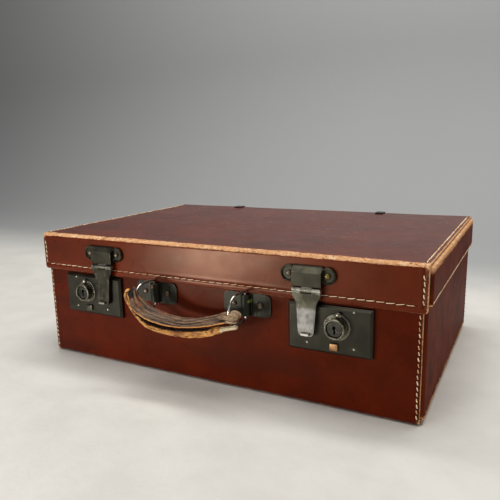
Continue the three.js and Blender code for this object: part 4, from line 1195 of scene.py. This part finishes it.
def finish_metalwork():
    plate = metal_material("bronzed_steel", srgb(37, 36, 28), srgb(50, 48, 38), 0.36, 0.8,
                           worn=srgb(78, 74, 60), wear_amount=-0.04, rust=0.2, seed=3, scratched=0.1)
    rubbed = metal_material("rubbed_steel", srgb(92, 89, 76), srgb(146, 141, 124), 0.32, 0.95,
                            rust=0.2, seed=11)
    soft_edge = metal_material("rubbed_bronze", srgb(66, 64, 53), srgb(104, 100, 84), 0.36, 0.9, seed=15)
    nozzle_look = metal_material("nozzle_steel", srgb(70, 67, 57), srgb(116, 111, 97), 0.28, 0.95,
                                 worn=srgb(160, 154, 138), wear_amount=0.03, seed=19)
    dark = metal_material("keyway_steel", srgb(40, 40, 36), srgb(70, 68, 60), 0.42, 0.9, seed=23)
    steel = metal_material("wire_steel", srgb(150, 150, 142), srgb(206, 205, 196), 0.30, 1.0, seed=27)
    stud = metal_material("stud_steel", srgb(120, 114, 102), srgb(178, 170, 154), 0.32, 1.0,
                          rust=0.4, seed=31)
    brass = metal_material("tarnished_brass", srgb(112, 96, 54), srgb(158, 138, 84), 0.42, 0.9,
                           rust=0.3, seed=35)
    dull_rivet = metal_material("dull_rivet", srgb(86, 76, 64), srgb(128, 112, 92), 0.45, 0.9,
                                rust=0.4, seed=39)
    copper = metal_material("copper_lug", srgb(120, 84, 52), srgb(186, 142, 96), 0.42, 0.8,
                            rust=0.6, seed=43)
    lock_plate = lock_plate_material()
    handle_plate = handle_plate_material()
    bracket = bracket_material()
    # The two levers are copies of one metal, lit and shaded: the right one pale below its bend with a
    # brighter roll (partly rub, partly painted light), the left one dark all over, as in shade.
    lit_lever = lever_material("hasp_lever_lit", (srgb(62, 60, 48), srgb(92, 89, 74)),
                                (srgb(98, 95, 90), srgb(140, 137, 131)), 88.0, 0.5, 0.0)
    shaded_lever = lever_material("hasp_lever_shaded", (srgb(40, 38, 29), srgb(54, 51, 40)),
                                (srgb(42, 39, 30), srgb(60, 56, 45)), 84.0, 0.3, 50.0)
    for s in ("left", "right"):
        right = s == "right"
        for part, main, edge, width in (
            ("lock_plate", lock_plate, soft_edge, 0.35),
            ("lock_back", steel, steel, 0.15),
            ("lock_nozzle", nozzle_look, rubbed, 0.22),
            ("key_plug", dark, nozzle_look, 0.18),
            ("lock_stud", stud, stud, 0.2),
            ("lock_lug", copper if right else soft_edge, None, 0.3),
            ("lock_bolt", steel, steel, 0.15),
            ("hasp_lever", lit_lever if right else shaded_lever, soft_edge, 0.3),
            ("hasp_pin", steel, steel, 0.15),
            ("hasp_rivet_outer", brass if right else dull_rivet, None, 0.2),
            ("hasp_rivet_inner", dull_rivet, None, 0.2),
            ("handle_plate", handle_plate, soft_edge, 0.25),
            ("handle_rivet_outer", dull_rivet, None, 0.2),
            ("handle_rivet_inner", dull_rivet, None, 0.2),
            ("back_hinge_leaf", plate, soft_edge, 0.2),
            ("back_hinge_pin", steel, None, 0.2),
            ("back_hinge_strap", plate, soft_edge, 0.2),
        ):
            finish_metal(f"{part}_{s}", main, edge, width)
        finish_metal(f"hasp_bracket_{s}", bracket, rubbed, 0.45, 3)
    return steel


def make_springs(steel):
    """The bolts' leaf springs: copies of the CAD's springs with rounded edges, attached to the base."""
    for suffix, outer in (("left", 0), ("right", 1)):
        node = f"bolt_spring_{suffix}"
        spring = bpy.data.objects.new(f"bolt_spring_leaf_{suffix}", NODES[node].data.copy())
        bpy.context.scene.collection.objects.link(spring)
        round_edges(spring, steel, None, 0.1, 2)
        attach(spring, "base")
        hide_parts(node)
        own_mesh(spring)


def finish_inside():
    lining = lining_material()
    board = board_material()
    for node in ("base_lining", "lid_lining"):
        finish_metal(node, lining, lining, 0.5, 3)
    for node in ("base_board", "lid_board"):
        finish_metal(node, board, board, 0.3)


# ---------------------------------------------------------------- camera, floor and light

CAMERA_PLACE = (0.26678, -0.54155, 0.22598)
CAMERA_FORWARD = (-0.46002, 0.86536, -0.19885)
CAMERA_UP = (-0.07362, 0.18600, 0.97979)
CAMERA_LENS = 39.04


def make_camera():
    data = bpy.data.cameras.new("camera")
    data.lens = CAMERA_LENS
    data.sensor_width = 36
    data.clip_start = 0.01
    data.clip_end = 20
    camera = bpy.data.objects.new("camera", data)
    forward = Vector(CAMERA_FORWARD).normalized()
    right = forward.cross(Vector(CAMERA_UP)).normalized()
    up = right.cross(forward)
    rotation = Matrix((right, up, -forward)).transposed()
    camera.matrix_world = Matrix.Translation(CAMERA_PLACE) @ rotation.to_4x4()
    bpy.context.scene.collection.objects.link(camera)
    bpy.context.scene.camera = camera


FLOOR_Z = -0.4
WALL_Y = 700.0               # where the floor starts to turn up
SWEEP = 500.0


def make_floor():
    """A pale floor that sweeps up into a plain grey wall behind."""
    rows = [(y, FLOOR_Z) for y in (-2600.0, -900.0, 0.0, WALL_Y)]
    for k in range(1, 15):
        a = math.pi / 2 * k / 14
        rows.append((WALL_Y + SWEEP * math.sin(a), FLOOR_Z + SWEEP * (1 - math.cos(a))))
    rows.append((WALL_Y + SWEEP, 2600.0))
    points, faces = [], []
    xs = np.linspace(-3000, 3000, 13)
    for y, z in rows:
        for x in xs:
            points.append((x, y, z))
    width = len(xs)
    for r in range(len(rows) - 1):
        for c in range(width - 1):
            a = r * width + c
            faces.append((a, a + 1, a + 1 + width, a + width))
    floor = new_object("floor", points, faces, [floor_material()])


def area_light(name, place, target, size, power, colour=(1, 1, 1)):
    data = bpy.data.lights.new(name, "AREA")
    data.shape = "RECTANGLE"
    data.size, data.size_y = size
    data.energy = power
    data.color = colour
    lamp = bpy.data.objects.new(name, data)
    direction = Vector(target) - Vector(place)
    lamp.matrix_world = Matrix.Translation(place) @ direction.to_track_quat("-Z", "Y").to_matrix().to_4x4()
    bpy.context.scene.collection.objects.link(lamp)


def make_light():
    world = bpy.data.worlds.new("studio")
    world.use_nodes = True
    background = world.node_tree.nodes["Background"]
    background.inputs["Color"].default_value = (*srgb(178, 180, 182), 1)
    background.inputs["Strength"].default_value = 0.26
    bpy.context.scene.world = world
    area_light("overhead", (0.1, -0.2, 1.5), (0, 0, 0.1), (1.3, 0.9), 15, (1.0, 0.98, 0.95))
    area_light("window", (-0.5, -1.35, 0.42), (0, -0.1, 0.1), (0.5, 0.6), 2.2, (0.98, 0.98, 1.0))
    area_light("side", (1.3, -0.5, 0.5), (0.2, 0, 0.05), (0.5, 0.5), 1.5, (1.0, 0.97, 0.94))
    area_light("low_window", (-0.262, -0.60, 0.03), (0.03, -0.136, 0.115), (0.13, 0.05), 1.15)
    area_light("low_window_right", (-0.08, -0.60, 0.03), (0.12, -0.136, 0.115), (0.2, 0.05), 0.1)
    area_light("wall_wash", (0.0, 0.4, 1.9), (-0.1, 1.2, 0.5), (2.0, 0.4), 24, (1.0, 1.0, 1.0))
    bpy.context.scene.view_settings.view_transform = "Standard"


def main():
    make_camera()
    make_case_leather()
    steel = finish_metalwork()
    finish_inside()
    make_springs(steel)
    make_rings(steel)
    make_handle()
    make_floor()
    make_light()


main()
